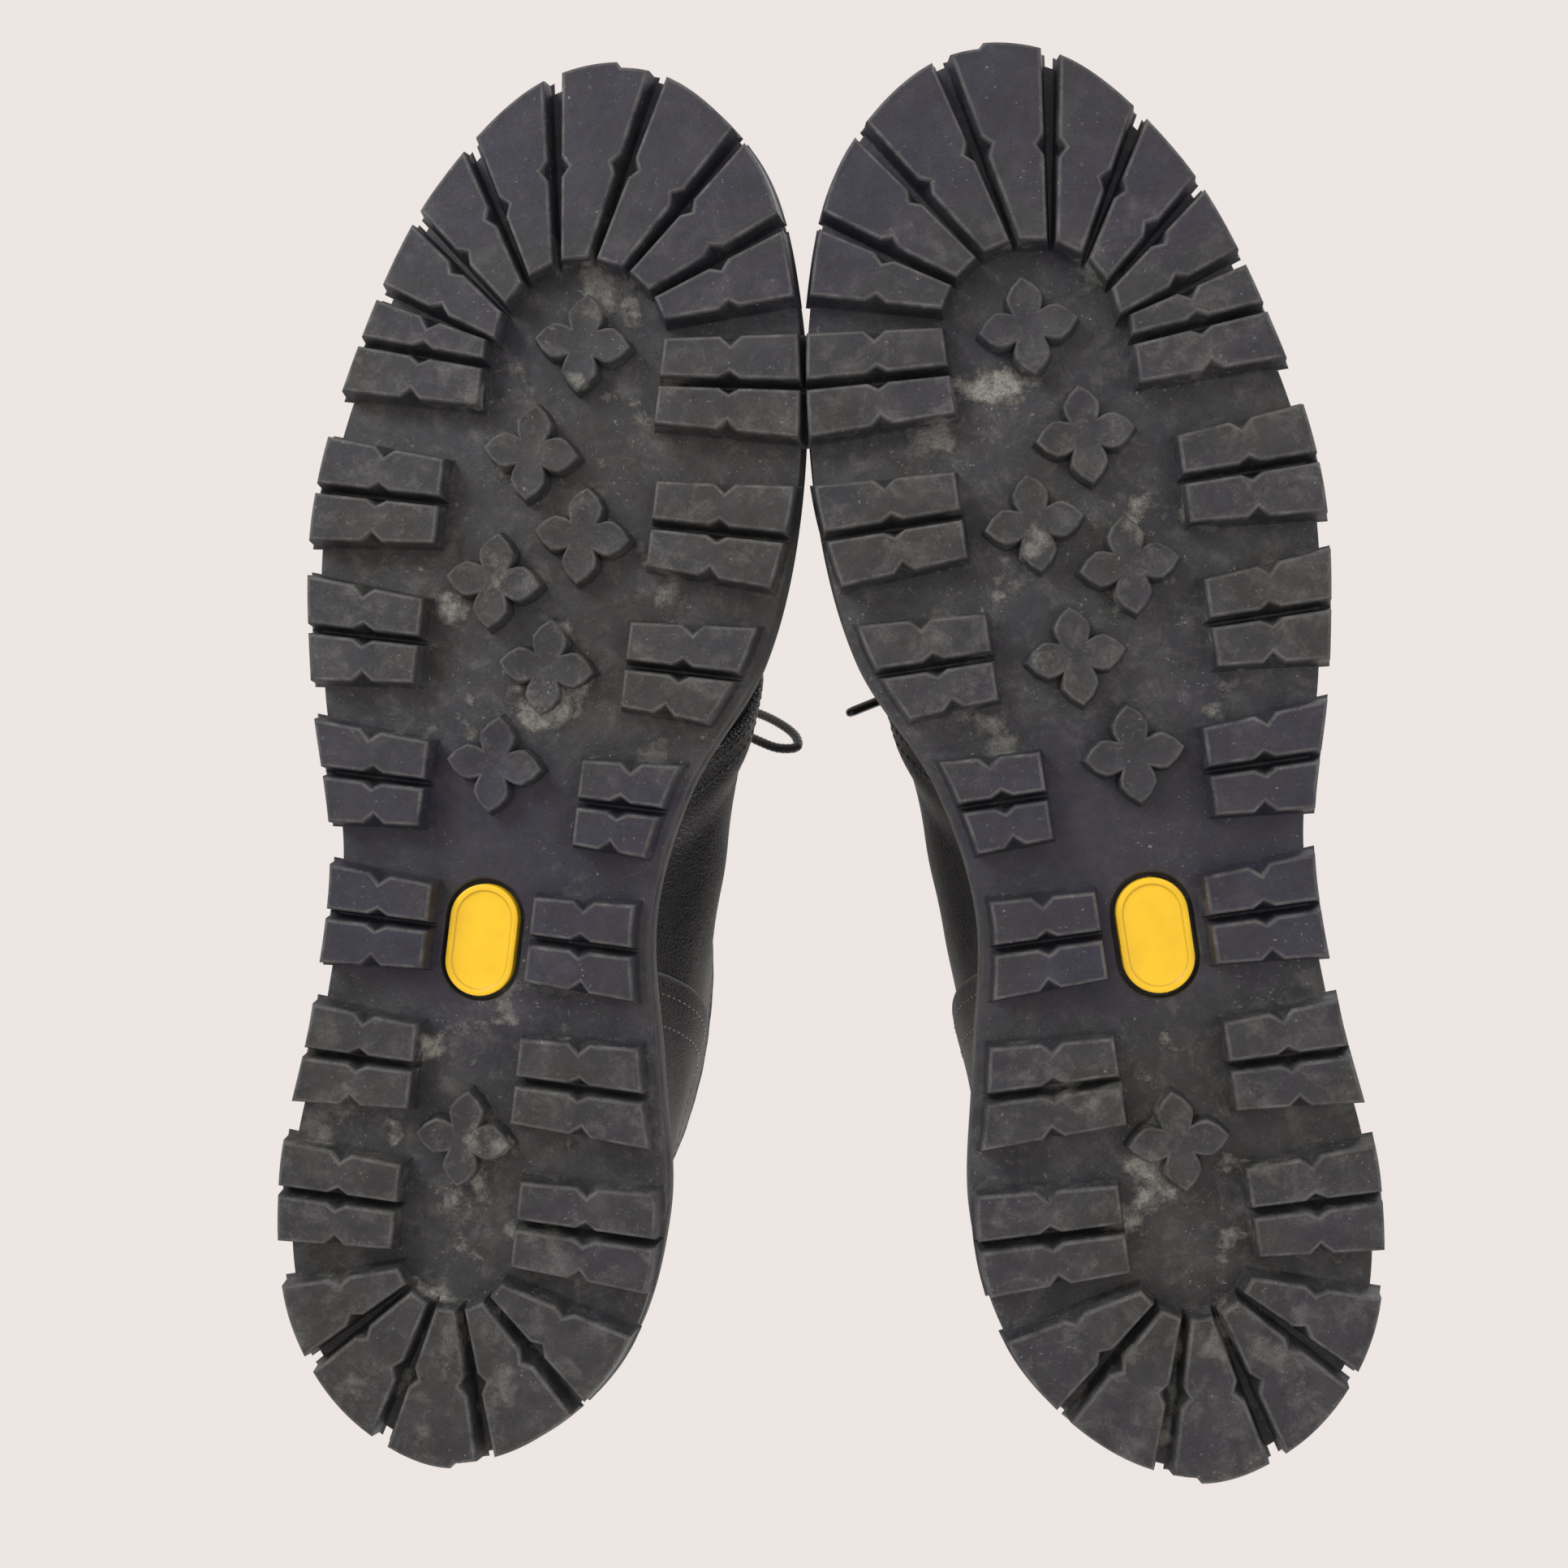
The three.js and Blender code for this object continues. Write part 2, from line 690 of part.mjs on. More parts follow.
function eyeletHeight(index) {
  return lerp(FIRST_EYELET, LAST_EYELET, index / (EYELET_PAIRS - 1));
}

// The strand turns at each eyelet over a short upright stretch, then crosses to the other side
function heldStrand(startSide, crossing) {
  const points = [];
  for (let index = 0; index < EYELET_PAIRS; index += 1) {
    const side = index % 2 === 0 ? startSide : -startSide;
    const low = eyeletHeight(index) - EYELET_BEND;
    const high = eyeletHeight(index) + EYELET_BEND;
    points.push(upperPoint(side * EYELET_ANGLE, low, LACE_LIFT));
    points.push(upperPoint(side * EYELET_ANGLE, high, LACE_LIFT));
    if (index < EYELET_PAIRS - 1) {
      const next = eyeletHeight(index + 1) - EYELET_BEND;
      const share = (1 - EDGE_ANGLE / EYELET_ANGLE) / 2;
      points.push(upperPoint(side * EDGE_ANGLE, lerp(high, next, share), LACE_LIFT));
      points.push(upperPoint(0, lerp(high, next, 0.5), crossing));
      points.push(upperPoint(-side * EDGE_ANGLE, lerp(high, next, 1 - share), LACE_LIFT));
    }
  }
  return cordAlong(points, LACE_DIAMETER, STEPS_PER_CROSSING * (EYELET_PAIRS - 1));
}

// Bow: a knot on the tongue's front, two loops and two tails. The routes are points in the boot's
// frame, chosen by hand so that the limp cord stands off the knot and then drops.
const KNOT = [5, 172, 147];
const KNOT_SIZE = [8, 5, 6];

const rightBow = {
  loop_medial: [
    [-3.3, 174, 149], [-14, 178, 149], [-26, 178, 144], [-38, 175, 136], [-45, 171, 130],
    [-46, 168, 126.5], [-41, 167, 126], [-31, 169.5, 130], [-20, 172.5, 137], [-11, 173, 142],
    [-3.3, 171.5, 144.5],
  ],
  loop_lateral: [
    [13.3, 174, 149], [23, 177, 148], [33, 176, 142], [42, 171, 132], [46, 166, 122],
    [45, 163, 117], [40, 164, 118], [32, 168, 127], [24, 171, 136], [13.3, 171.5, 144.5],
  ],
  tail_medial: [
    [0, 176.5, 141.5], [-6, 179, 138.5], [-13, 175, 131.5], [-20, 169, 122], [-26, 166, 112],
    [-30, 169, 101], [-32, 175, 92],
  ],
  tail_lateral: [
    [10, 176.5, 141.5], [16, 179, 138], [23, 176, 131], [30, 170, 121.5], [36, 166.5, 111],
    [39.5, 168, 101], [41.5, 173, 92],
  ],
};
const leftBow = {
  loop_medial: [
    [-3.3, 174, 149], [-12, 178, 148.5], [-21, 180, 143], [-29, 180, 134], [-34, 178, 124],
    [-35, 176, 117], [-31, 175, 115.5], [-25, 175.5, 121], [-18, 175.5, 131], [-11, 173.5, 139.5],
    [-3.3, 171.5, 144.5],
  ],
  loop_lateral: rightBow.loop_lateral,
  tail_medial: [
    [0, 176.5, 141.5], [-4, 183, 139], [-11, 187.5, 136.5], [-19, 187.5, 134], [-27, 185.5, 131.5],
    [-36, 183.2, 128.8],
  ],
  tail_lateral: rightBow.tail_lateral,
};
const AGLET_GAP = 0.3;

function vectors(points) {
  return points.map((point) => new THREE.Vector3(...point));
}

function agletGeometry(route) {
  const points = vectors(route);
  const end = points[points.length - 1];
  const path = new THREE.CatmullRomCurve3(points, false, 'centripetal');
  const direction = path.getTangent(1);
  const start = end.clone().addScaledVector(direction, AGLET_GAP);
  const stop = start.clone().addScaledVector(direction, AGLET_LENGTH);
  return cordAlong([start, stop], AGLET_DIAMETER, 1);
}

function knotGeometry() {
  const geometry = new THREE.SphereGeometry(1, 10, 7);
  return geometry.scale(...KNOT_SIZE).translate(...KNOT);
}

// One boot

function bootPieces(bow) {
  const pieces = [
    ['outsole', outsoleGeometry(), treadRubber],
    ['sole_insert', insertGeometry(), yellowRubber],
    ['midsole', prism(
      insetOutline(MIDSOLE_INSET, 48),
      MIDSOLE_BOTTOM,
      MIDSOLE_BOTTOM + MIDSOLE_THICKNESS,
    ), midsoleRubber],
    ['welt', prism(
      insetOutline(MIDSOLE_INSET + 0.3, 48),
      WELT_BOTTOM,
      WELT_BOTTOM + WELT_THICKNESS,
      insetOutline(WELT_INNER_INSET, 40),
    ), leather],
    ['cork_filler', fillerGeometry(), cork],
    ['shank', prism(stripOutline(SHANK, 0), WELT_BOTTOM, WELT_BOTTOM + SHANK.thickness), steel],
    ['insole_board', boardGeometry(), board],
    ['footbed', prism(
      insetOutline(LAST_INSET + BOARD_CLEARANCE + 0.8, 36),
      FOOTBED_BOTTOM,
      FOOTBED_BOTTOM + FOOTBED_THICKNESS,
    ), foam],
    ['lace_over', heldStrand(1, CROSS_OVER), laceCord],
    ['lace_under', heldStrand(-1, CROSS_UNDER), laceCord],
    ['knot', knotGeometry(), laceCord],
  ];
  for (const shape of upperPanels) {
    pieces.push([shape.name, panel(shape), shape.material]);
  }
  for (const [name, route] of Object.entries(bow)) {
    pieces.push([name, cordAlong(vectors(route), LACE_DIAMETER, 12), laceCord]);
  }
  for (const side of ['medial', 'lateral']) {
    pieces.push([`aglet_${side}`, agletGeometry(bow[`tail_${side}`]), aglet]);
  }
  return pieces;
}

function boot(prefix, bow) {
  const group = new THREE.Group();
  for (const [name, geometry, material] of bootPieces(bow)) {
    const mesh = new THREE.Mesh(geometry, material);
    mesh.name = `${prefix}_${name}`;
    group.add(mesh);
  }
  return group;
}

// The pair: toes towards -Y and turned in until the midsoles all but touch
const turned = insetOutline(MIDSOLE_INSET, 48).map((point) => point.rotateAround(
  new THREE.Vector2(),
  Math.PI + TOE_IN,
));
const heelSpacing = 2 * Math.max(...turned.map((point) => point.x)) + BOOT_GAP;

const rightBoot = boot('right', rightBow);
rightBoot.rotation.z = Math.PI + TOE_IN;
rightBoot.position.x = -heelSpacing / 2;

const leftBoot = boot('left', leftBow);
leftBoot.rotation.z = Math.PI + TOE_IN;
leftBoot.position.x = -heelSpacing / 2;
const mirror = new THREE.Group();
mirror.scale.x = -1;
mirror.add(leftBoot);

const pair = new THREE.Group();
pair.add(rightBoot, mirror);
pair.updateMatrixWorld(true);

// Origin under the middle of the pair
const box = new THREE.Box3().setFromObject(pair, true);
const middle = box.getCenter(new THREE.Vector3());
pair.position.set(-middle.x, -middle.y, -box.min.z);
pair.updateMatrixWorld(true);

export default pair;
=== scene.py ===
import math

import bmesh
import bpy
import numpy as np
from mathutils import Matrix, Vector


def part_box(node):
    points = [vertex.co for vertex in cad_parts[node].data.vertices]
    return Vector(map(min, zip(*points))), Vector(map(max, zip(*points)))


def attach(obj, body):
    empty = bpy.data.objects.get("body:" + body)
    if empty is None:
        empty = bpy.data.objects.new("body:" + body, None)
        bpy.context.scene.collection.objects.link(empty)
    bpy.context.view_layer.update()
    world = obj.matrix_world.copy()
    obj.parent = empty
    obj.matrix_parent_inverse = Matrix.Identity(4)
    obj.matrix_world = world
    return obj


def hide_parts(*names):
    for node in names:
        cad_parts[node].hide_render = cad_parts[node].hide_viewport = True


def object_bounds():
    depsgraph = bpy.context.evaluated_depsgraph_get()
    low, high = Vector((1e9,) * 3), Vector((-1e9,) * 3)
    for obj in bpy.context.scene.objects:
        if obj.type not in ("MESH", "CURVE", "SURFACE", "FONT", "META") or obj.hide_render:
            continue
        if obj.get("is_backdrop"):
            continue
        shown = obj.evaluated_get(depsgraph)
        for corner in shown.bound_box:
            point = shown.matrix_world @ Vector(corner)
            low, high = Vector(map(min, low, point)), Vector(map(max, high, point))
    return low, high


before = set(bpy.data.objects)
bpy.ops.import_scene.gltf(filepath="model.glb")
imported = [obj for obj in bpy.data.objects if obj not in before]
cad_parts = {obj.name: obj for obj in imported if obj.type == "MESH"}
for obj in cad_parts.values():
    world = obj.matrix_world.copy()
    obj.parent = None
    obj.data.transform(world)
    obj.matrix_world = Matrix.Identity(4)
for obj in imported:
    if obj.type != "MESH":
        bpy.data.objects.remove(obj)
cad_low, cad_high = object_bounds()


# Stage. A pale matt floor under the pair, an even pale room and soft studio panels. The soles are
# seen from below the floor, so the floor's underside is clear and it blocks no light.
def paint(hex_code):
    """An sRGB hex colour as a linear colour with alpha."""
    shares = [int(hex_code[i:i + 2], 16) / 255 for i in (1, 3, 5)]
    return [s / 12.92 if s <= 0.04045 else ((s + 0.055) / 1.055) ** 2.4 for s in shares] + [1]


def add(tree, kind, inputs=(), **settings):
    """Adds a node to a tree with its settings, its values and its links."""
    node = tree.nodes.new(kind)
    for name, value in settings.items():
        setattr(node, name, value)
    for key, value in dict(inputs).items():
        if isinstance(value, bpy.types.NodeSocket):
            tree.links.new(value, node.inputs[key])
        else:
            node.inputs[key].default_value = value
    return node


def new_material(name, **constants):
    """A material with its shader; the constants go straight on the shader's sockets."""
    made = bpy.data.materials.new(name)
    made.use_nodes = True
    shader = made.node_tree.nodes["Principled BSDF"]
    for key, value in constants.items():
        shader.inputs[key.replace("_", " ")].default_value = value
    return made, made.node_tree, shader


FLOOR_SIDE = 7
FLOOR_GAP = 0.0004
BACKDROP_STRENGTH = 0.98
floor_mesh = bpy.data.meshes.new("floor")
corners = [(-1, -1), (1, -1), (1, 1), (-1, 1)]
floor_mesh.from_pydata(
    [(x * FLOOR_SIDE, y * FLOOR_SIDE, -FLOOR_GAP) for x, y in corners], [], [(0, 1, 2, 3)],
)
floor = bpy.data.objects.new("floor", floor_mesh)
bpy.context.scene.collection.objects.link(floor)
matt_board, tree, shader = new_material("matt_white_board", Roughness=0.9)
shader.inputs["Base Color"].default_value = paint("#cfcac6")
underside = add(tree, "ShaderNodeBsdfTransparent")
side_seen = add(tree, "ShaderNodeNewGeometry").outputs["Backfacing"]
both_sides = add(tree, "ShaderNodeMixShader", {
    0: side_seen, 1: shader.outputs[0], 2: underside.outputs[0],
})
tree.links.new(both_sides.outputs[0], tree.nodes["Material Output"].inputs["Surface"])
floor_mesh.materials.append(matt_board)
floor.visible_shadow = False
floor.visible_diffuse = False
floor.visible_glossy = False
floor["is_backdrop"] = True

scene = bpy.context.scene
scene.view_settings.view_transform = "Standard"
scene.world = bpy.data.worlds.new("studio")
scene.world.use_nodes = True
backdrop = scene.world.node_tree.nodes["Background"]
backdrop.inputs["Color"].default_value = paint("#efe8e5")
backdrop.inputs["Strength"].default_value = BACKDROP_STRENGTH


def soft_panel(name, place, aim, size, power):
    panel = bpy.data.lights.new(name, "AREA")
    panel.shape = "SQUARE"
    panel.size = size
    panel.energy = power
    lamp = bpy.data.objects.new(name, panel)
    lamp.location = place
    lamp.rotation_mode = "QUATERNION"
    lamp.rotation_quaternion = (Vector(aim) - Vector(place)).to_track_quat("-Z", "Y")
    scene.collection.objects.link(lamp)


soft_panel("below_left", (-0.62, -0.62, -0.55), (0, 0, 0), 0.4, 5.5)
soft_panel("below_right", (0.75, -0.1, -0.6), (0, 0, 0), 0.6, 1.4)
soft_panel("key", (0.7, -0.9, 1.1), (0, 0, 0.05), 0.6, 9)
soft_panel("fill", (-1.0, -0.3, 0.8), (0, 0, 0.05), 0.9, 3)
soft_panel("back", (0.2, 1.1, 0.9), (0, 0, 0.05), 0.8, 6)

# Below the soles at arm's length, swung a few degrees towards the left boot
CAMERA_PLACE = Vector((0.0265, 0.0075, -0.3644))
CAMERA_SWING = math.radians(4.99)
CAMERA_TILT = math.radians(0.46)
CAMERA_ROLL = math.radians(-0.82)
SENSOR_WIDTH = 36
FOCAL_LENGTH = 39.04
NEAREST_SEEN = 0.02
out = Vector((
    math.sin(CAMERA_SWING) * math.cos(CAMERA_TILT),
    math.sin(CAMERA_TILT),
    -math.cos(CAMERA_SWING) * math.cos(CAMERA_TILT),
))
camera = bpy.data.objects.new("camera", bpy.data.cameras.new("camera"))
camera.data.sensor_width = SENSOR_WIDTH
camera.data.lens = FOCAL_LENGTH
camera.data.clip_start = NEAREST_SEEN
right = Vector((0, -1, 0)).cross(out).normalized()
up = out.cross(right)
right, up = (
    right * math.cos(CAMERA_ROLL) + up * math.sin(CAMERA_ROLL),
    up * math.cos(CAMERA_ROLL) - right * math.sin(CAMERA_ROLL),
)
turned = Matrix((right, up, out)).transposed()
camera.matrix_world = Matrix.Translation(CAMERA_PLACE) @ turned.to_4x4()
scene.collection.objects.link(camera)
scene.camera = camera


# The boot's own frame, in millimetres: x to the outside of the foot, y from the back of the heel
# to the toe, z up from the tread. Every piece is made there once; the right boot turns its toe in
# and the left boot is its mirror. The sole's edge is one smooth closed curve.
SOLE_LENGTH = 310
SOLE_WIDTH = 107
TOE_IN = math.radians(7.65)
OUTLINE_SHARES = [
    (0.03, 0), (0.23, 0.026), (0.374, 0.087), (0.432, 0.187), (0.405, 0.306), (0.405, 0.419),
    (0.488, 0.539), (0.528, 0.658), (0.477, 0.774), (0.35, 0.897), (0.14, 0.982),
    (-0.084, 0.996), (-0.308, 0.942), (-0.425, 0.845), (-0.473, 0.703), (-0.437, 0.59),
    (-0.315, 0.494), (-0.271, 0.4), (-0.325, 0.294), (-0.374, 0.19), (-0.322, 0.09),
    (-0.15, 0.021),
]


def unit(vectors):
    return vectors / np.maximum(np.linalg.norm(vectors, axis=-1, keepdims=True), 1e-9)


def smooth_route(points, spacing, closed=False):
    """Centripetal spline through the points, as points about a spacing apart."""
    points = np.array(points, float)
    if closed:
        points = np.vstack([points[-1:], points, points[:2]])
    else:
        points = np.vstack([2 * points[0] - points[1], points, 2 * points[-1] - points[-2]])
    t = np.linspace(0, 1, 24, endpoint=False)[:, None]
    dense = []
    for a, b, c, d in zip(points, points[1:], points[2:], points[3:]):
        ab, bc, cd = (math.sqrt(np.linalg.norm(q - p)) for p, q in ((a, b), (b, c), (c, d)))
        leave = ((b - a) / ab - (c - a) / (ab + bc) + (c - b) / bc) * bc
        reach = ((c - b) / bc - (d - b) / (bc + cd) + (d - c) / cd) * bc
        bend = 2 * (b - c) + leave + reach
        dense.append(b + t * (leave + t * (3 * (c - b) - 2 * leave - reach + t * bend)))
    dense = np.vstack([*dense, points[-2]])
    along = np.r_[0, np.cumsum(np.linalg.norm(np.diff(dense, axis=0), axis=1))]
    steps = max(2, round(along[-1] / spacing))
    at = np.linspace(0, along[-1], steps + 1)
    route = np.column_stack([np.interp(at, along, axis) for axis in dense.T])
    return route[:-1] if closed else route


sole_curve = smooth_route([(x * SOLE_WIDTH, y * SOLE_LENGTH) for x, y in OUTLINE_SHARES], 1, True)


def inset_outline(distance, every=1):
    """The sole's edge moved inwards by a distance, or by one for each of its points."""
    ahead = unit(np.roll(sole_curve, -3, 0) - np.roll(sole_curve, 3, 0))
    inward = np.column_stack([-ahead[:, 1], ahead[:, 0]])
    return (sole_curve + inward * np.reshape(distance, (-1, 1)))[::every]


toe_in_turn = math.pi + TOE_IN
turn = np.array([
    [math.cos(toe_in_turn), -math.sin(toe_in_turn)],
    [math.sin(toe_in_turn), math.cos(toe_in_turn)],
])
MIDSOLE_INSET = 0.5
midsole_low, midsole_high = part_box("right_midsole")
edge_in_place = inset_outline(MIDSOLE_INSET) @ turn.T
edge_middle = (edge_in_place.max(0) + edge_in_place.min(0)) / 2
shift = np.array(((midsole_low + midsole_high) / 2)[:2]) * 1000 - edge_middle


def in_frame(points, hand=1):
    """Points of the boot's own frame in metres in the pair's frame; hand -1 is the left boot."""
    points = np.array(points, float)
    flat = points[..., :2] @ turn.T + shift
    return np.concatenate([flat * [hand, 1], points[..., 2:3]], -1) / 1000


def boot_mesh(name, points, faces, hand, finish, values=(), smooth=42, sole_map=None):
    """One closed piece for one boot: faces turned outwards, edges over an angle kept sharp."""
    mesh = bpy.data.meshes.new(name)
    mesh.from_pydata(in_frame(points, hand).tolist(), [], [list(map(int, face)) for face in faces])
    for key, given in dict(values).items():
        mesh.attributes.new(key, "FLOAT", "POINT").data.foreach_set("value", np.array(given, np.float32))
    work = bmesh.new()
    work.from_mesh(mesh)
    bmesh.ops.remove_doubles(work, verts=work.verts, dist=2e-6)
    bmesh.ops.dissolve_degenerate(work, edges=work.edges, dist=1e-6)
    bmesh.ops.recalc_face_normals(work, faces=work.faces)
    for face in work.faces:
        face.smooth = True
    work.to_mesh(mesh)
    work.free()
    mesh.set_sharp_from_angle(angle=math.radians(smooth))
    mesh.materials.append(finish)
    if sole_map:
        flat = np.zeros(len(mesh.vertices) * 3, np.float32)
        mesh.vertices.foreach_get("co", flat)
        own = ((flat.reshape(-1, 3)[:, :2] * 1000 * [hand, 1] - shift) @ turn) / SOLE_LENGTH
        corner = np.zeros(len(mesh.loops), np.int32)
        mesh.loops.foreach_get("vertex_index", corner)
        layer = mesh.uv_layers.new(name=sole_map)
        layer.data.foreach_set("uv", own[corner].astype(np.float32).ravel())
    made = bpy.data.objects.new(name, mesh)
    scene.collection.objects.link(made)
    return made


HANDS = {"right": 1, "left": -1}


def both_boots(part, points, faces, finish, slot=None, body="boot", stands_for=None, **settings):
    """The same piece for the right and the left boot, in place of the plain solid of its name."""
    made = []
    for boot, hand in HANDS.items():
        piece = boot_mesh(f"{boot}_{part}_made", points, faces, hand, finish, **settings)
        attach(piece, f"{boot}_{body}")
        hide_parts(*[f"{boot}_{node}" for node in (stands_for or [part])])
        made.append(piece)
    return made


# Laces. A round cord of black polyester, 2.7 mm thick, braided from sixteen ends, with its free
# ends tied in a bow on the tongue. The cord is limp: the loops and tails stand off the knot and
# drop, and each tail ends in a tube of shrunk plastic.
LACE = 2.7
BRAID_CELL = 1.5
BRAID_ENDS = 5


def tube(route, radius, sides, relief=0.0):
    """A closed tube along a route; relief raises it in the lozenges of a braid."""
    route = np.array(route)
    ahead = unit(np.gradient(route, axis=0))
    across = np.zeros_like(route)
    start = np.cross(ahead[0], [0.3, 0.2, 1])
    across[0] = start / np.linalg.norm(start)
    for i in range(1, len(route)):
        held = across[i - 1] - ahead[i] * (across[i - 1] @ ahead[i])
        across[i] = held / np.linalg.norm(held)
    other = np.cross(ahead, across)
    along = np.r_[0, np.cumsum(np.linalg.norm(np.diff(route, axis=0), axis=1))]
    angle = np.arange(sides) * 2 * math.pi / sides
    turning = BRAID_ENDS * angle[None, :]
    climbing = (along * math.pi / BRAID_CELL)[:, None]
    lozenge = np.sin(turning + climbing) * np.sin(turning - climbing)
    girth = (radius * (1 + relief * (lozenge - 0.5)))[..., None]
    ring = across[:, None] * np.cos(angle)[None, :, None] + other[:, None] * np.sin(angle)[None, :, None]
    points = (route[:, None] + ring * girth).reshape(-1, 3)
    faces = []
    for i in range(len(route) - 1):
        for k in range(sides):
            after = (k + 1) % sides
            faces.append((i * sides + k, i * sides + after, (i + 1) * sides + after, (i + 1) * sides + k))
    faces.append(tuple(range(sides))[::-1])
    faces.append(tuple(range(len(points) - sides, len(points))))
    return points, faces


lace_cord, tree, shader = new_material(
    "braided_polyester_cord", Roughness=0.7, IOR=1.5, Sheen_Weight=0.35, Sheen_Roughness=0.5,
)
# Dull black yarn; dust catches on it in patches a few millimetres long
place = add(tree, "ShaderNodeTexCoord").outputs["Object"]
patches = add(tree, "ShaderNodeTexNoise", {"Vector": place, "Scale": 1 / 0.004, "Detail": 3})
yarn = add(tree, "ShaderNodeTexNoise", {"Vector": place, "Scale": 1 / 0.0004, "Detail": 2})
dusty = add(tree, "ShaderNodeMix", {
    0: patches.outputs["Fac"], 6: paint("#131313"), 7: paint("#262626"),
}, data_type="RGBA")
tree.links.new(dusty.outputs[2], shader.inputs["Base Color"])
fuzz = add(tree, "ShaderNodeBump", {"Height": yarn.outputs["Fac"], "Strength": 0.5, "Distance": 0.0001})
tree.links.new(fuzz.outputs["Normal"], shader.inputs["Normal"])

shrunk_plastic, tree, shader = new_material("shrunk_plastic_tube", Roughness=0.28, IOR=1.5)
# Glossy black sleeve, scratched by handling: the gloss varies over a millimetre or two
place = add(tree, "ShaderNodeTexCoord").outputs["Object"]
rub = add(tree, "ShaderNodeTexNoise", {"Vector": place, "Scale": 1 / 0.0015, "Detail": 4})
gloss = add(tree, "ShaderNodeMapRange", {"Value": rub.outputs["Fac"], "To Min": 0.2, "To Max": 0.5})
tree.links.new(gloss.outputs[0], shader.inputs["Roughness"])
tone = add(tree, "ShaderNodeMix", {0: rub.outputs["Fac"], 6: paint("#0e0e0e"), 7: paint("#1c1c1c")},
           data_type="RGBA")
tree.links.new(tone.outputs[2], shader.inputs["Base Color"])

LATERAL_LOOP = [
    (13.3, 174, 149), (23, 177, 148), (33, 176, 142), (42, 171, 132), (46, 166, 122),
    (45, 163, 117), (40, 164, 118), (32, 168, 127), (24, 171, 136), (13.3, 171.5, 144.5),
]
LATERAL_TAIL = [
    (10, 176.5, 141.5), (16, 179, 138), (23, 176, 131), (30, 170, 121.5), (36, 166.5, 111),
    (39.5, 168, 101), (41.5, 173, 92),
]
BOWS = {
    "right": {
        "loop_medial": [
            (-3.3, 174, 149), (-14, 178, 149), (-26, 178, 144), (-38, 175, 136), (-45, 171, 130),
            (-46, 168, 126.5), (-41, 167, 126), (-31, 169.5, 130), (-20, 172.5, 137), (-11, 173, 142),
            (-3.3, 171.5, 144.5),
        ],
        "loop_lateral": LATERAL_LOOP,
        "tail_medial": [
            (0, 176.5, 141.5), (-6, 179, 138.5), (-13, 175, 131.5), (-20, 169, 122), (-26, 166, 112),
            (-30, 169, 101), (-32, 175, 92),
        ],
        "tail_lateral": LATERAL_TAIL,
    },
    "left": {
        "loop_medial": [
            (-3.3, 174, 149), (-12, 178, 148.5), (-21, 180, 143), (-29, 180, 134), (-34, 178, 124),
            (-35, 176, 117), (-31, 175, 115.5), (-25, 175.5, 121), (-18, 175.5, 131), (-11, 173.5, 139.5),
            (-3.3, 171.5, 144.5),
        ],
        "loop_lateral": LATERAL_LOOP,
        "tail_medial": [
            (0, 176.5, 141.5), (-4, 183, 139), (-11, 187.5, 136.5), (-19, 187.5, 134), (-27, 185.5, 131.5),
            (-36, 183.2, 128.8),
        ],
        "tail_lateral": LATERAL_TAIL,
    },
}
LACE_STEP = 0.42
LACE_SIDES = 20
BRAID_RELIEF = 0.1
AGLET = 3.0
AGLET_LENGTH = 20
AGLET_GAP = 0.3
# The aglet's profile: share of its length, share of its radius
AGLET_PROFILE = [(0, 0.9), (0.02, 1), (0.1, 0.94), (0.9, 0.92), (0.97, 0.8), (1, 0.45)]

for boot, hand in HANDS.items():
    for part, points in BOWS[boot].items():
        route = smooth_route(points, LACE_STEP)
        shape, faces = tube(route, LACE / 2, LACE_SIDES, BRAID_RELIEF)
        cord = boot_mesh(f"{boot}_{part}_made", shape, faces, hand, lace_cord, smooth=180)
        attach(cord, f"{boot}_boot")
        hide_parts(f"{boot}_{part}")
        tips = []
        if part.startswith("tail"):
            direction = unit(route[-1] - route[-3])
            share, width = np.array(AGLET_PROFILE).T
            stations = route[-1] + direction * (AGLET_GAP + share * AGLET_LENGTH)[:, None]
            shape, faces = tube(stations, 1, 20)
            shape = shape.reshape(len(stations), 20, 3)
            shape = stations[:, None] + (shape - stations[:, None]) * (width * AGLET / 2)[:, None, None]
            side = part.split("_")[1]
            tip = boot_mesh(f"{boot}_aglet_{side}_made", shape.reshape(-1, 3), faces, hand, shrunk_plastic)
            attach(tip, f"{boot}_boot")
            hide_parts(f"{boot}_aglet_{side}")
            tips.append(tip)
        line = in_frame(route, hand)
        end = "fitting" if tips else "object"


# Outsole. One piece of moulded charcoal rubber: a web with six-millimetre lugs in pairs down both
# sides, fans of lugs round the toe and the heel, low four-petal studs down the middle, and a seat
# for the insert. The lug walls have draft, and their edges are painted paler: partly rubbed wear, partly a
# painted highlight.
WEB_INSET = 1
LUG_OVERHANG = 1.2
RIM_WIDTH = 2.4
PAIR_FIRST = 55
PAIR_PITCH = 31
PAIR_GROOVE = 1.8
LUG_INNER_LENGTH = 8.6
LUG_OUTER_LENGTH = 11.4
NOTCH_DEPTH = 2
NOTCH_HALF = 2.2
NOTCH_PLACE = 0.5
CORNER_CLEAR = 2.4
OUTER_PAIRS = [19, 19, 19.5, 24, 29, 28, 22]
INNER_PAIRS = [7.5, 3.7, 3, 10, 17, 19, 17]
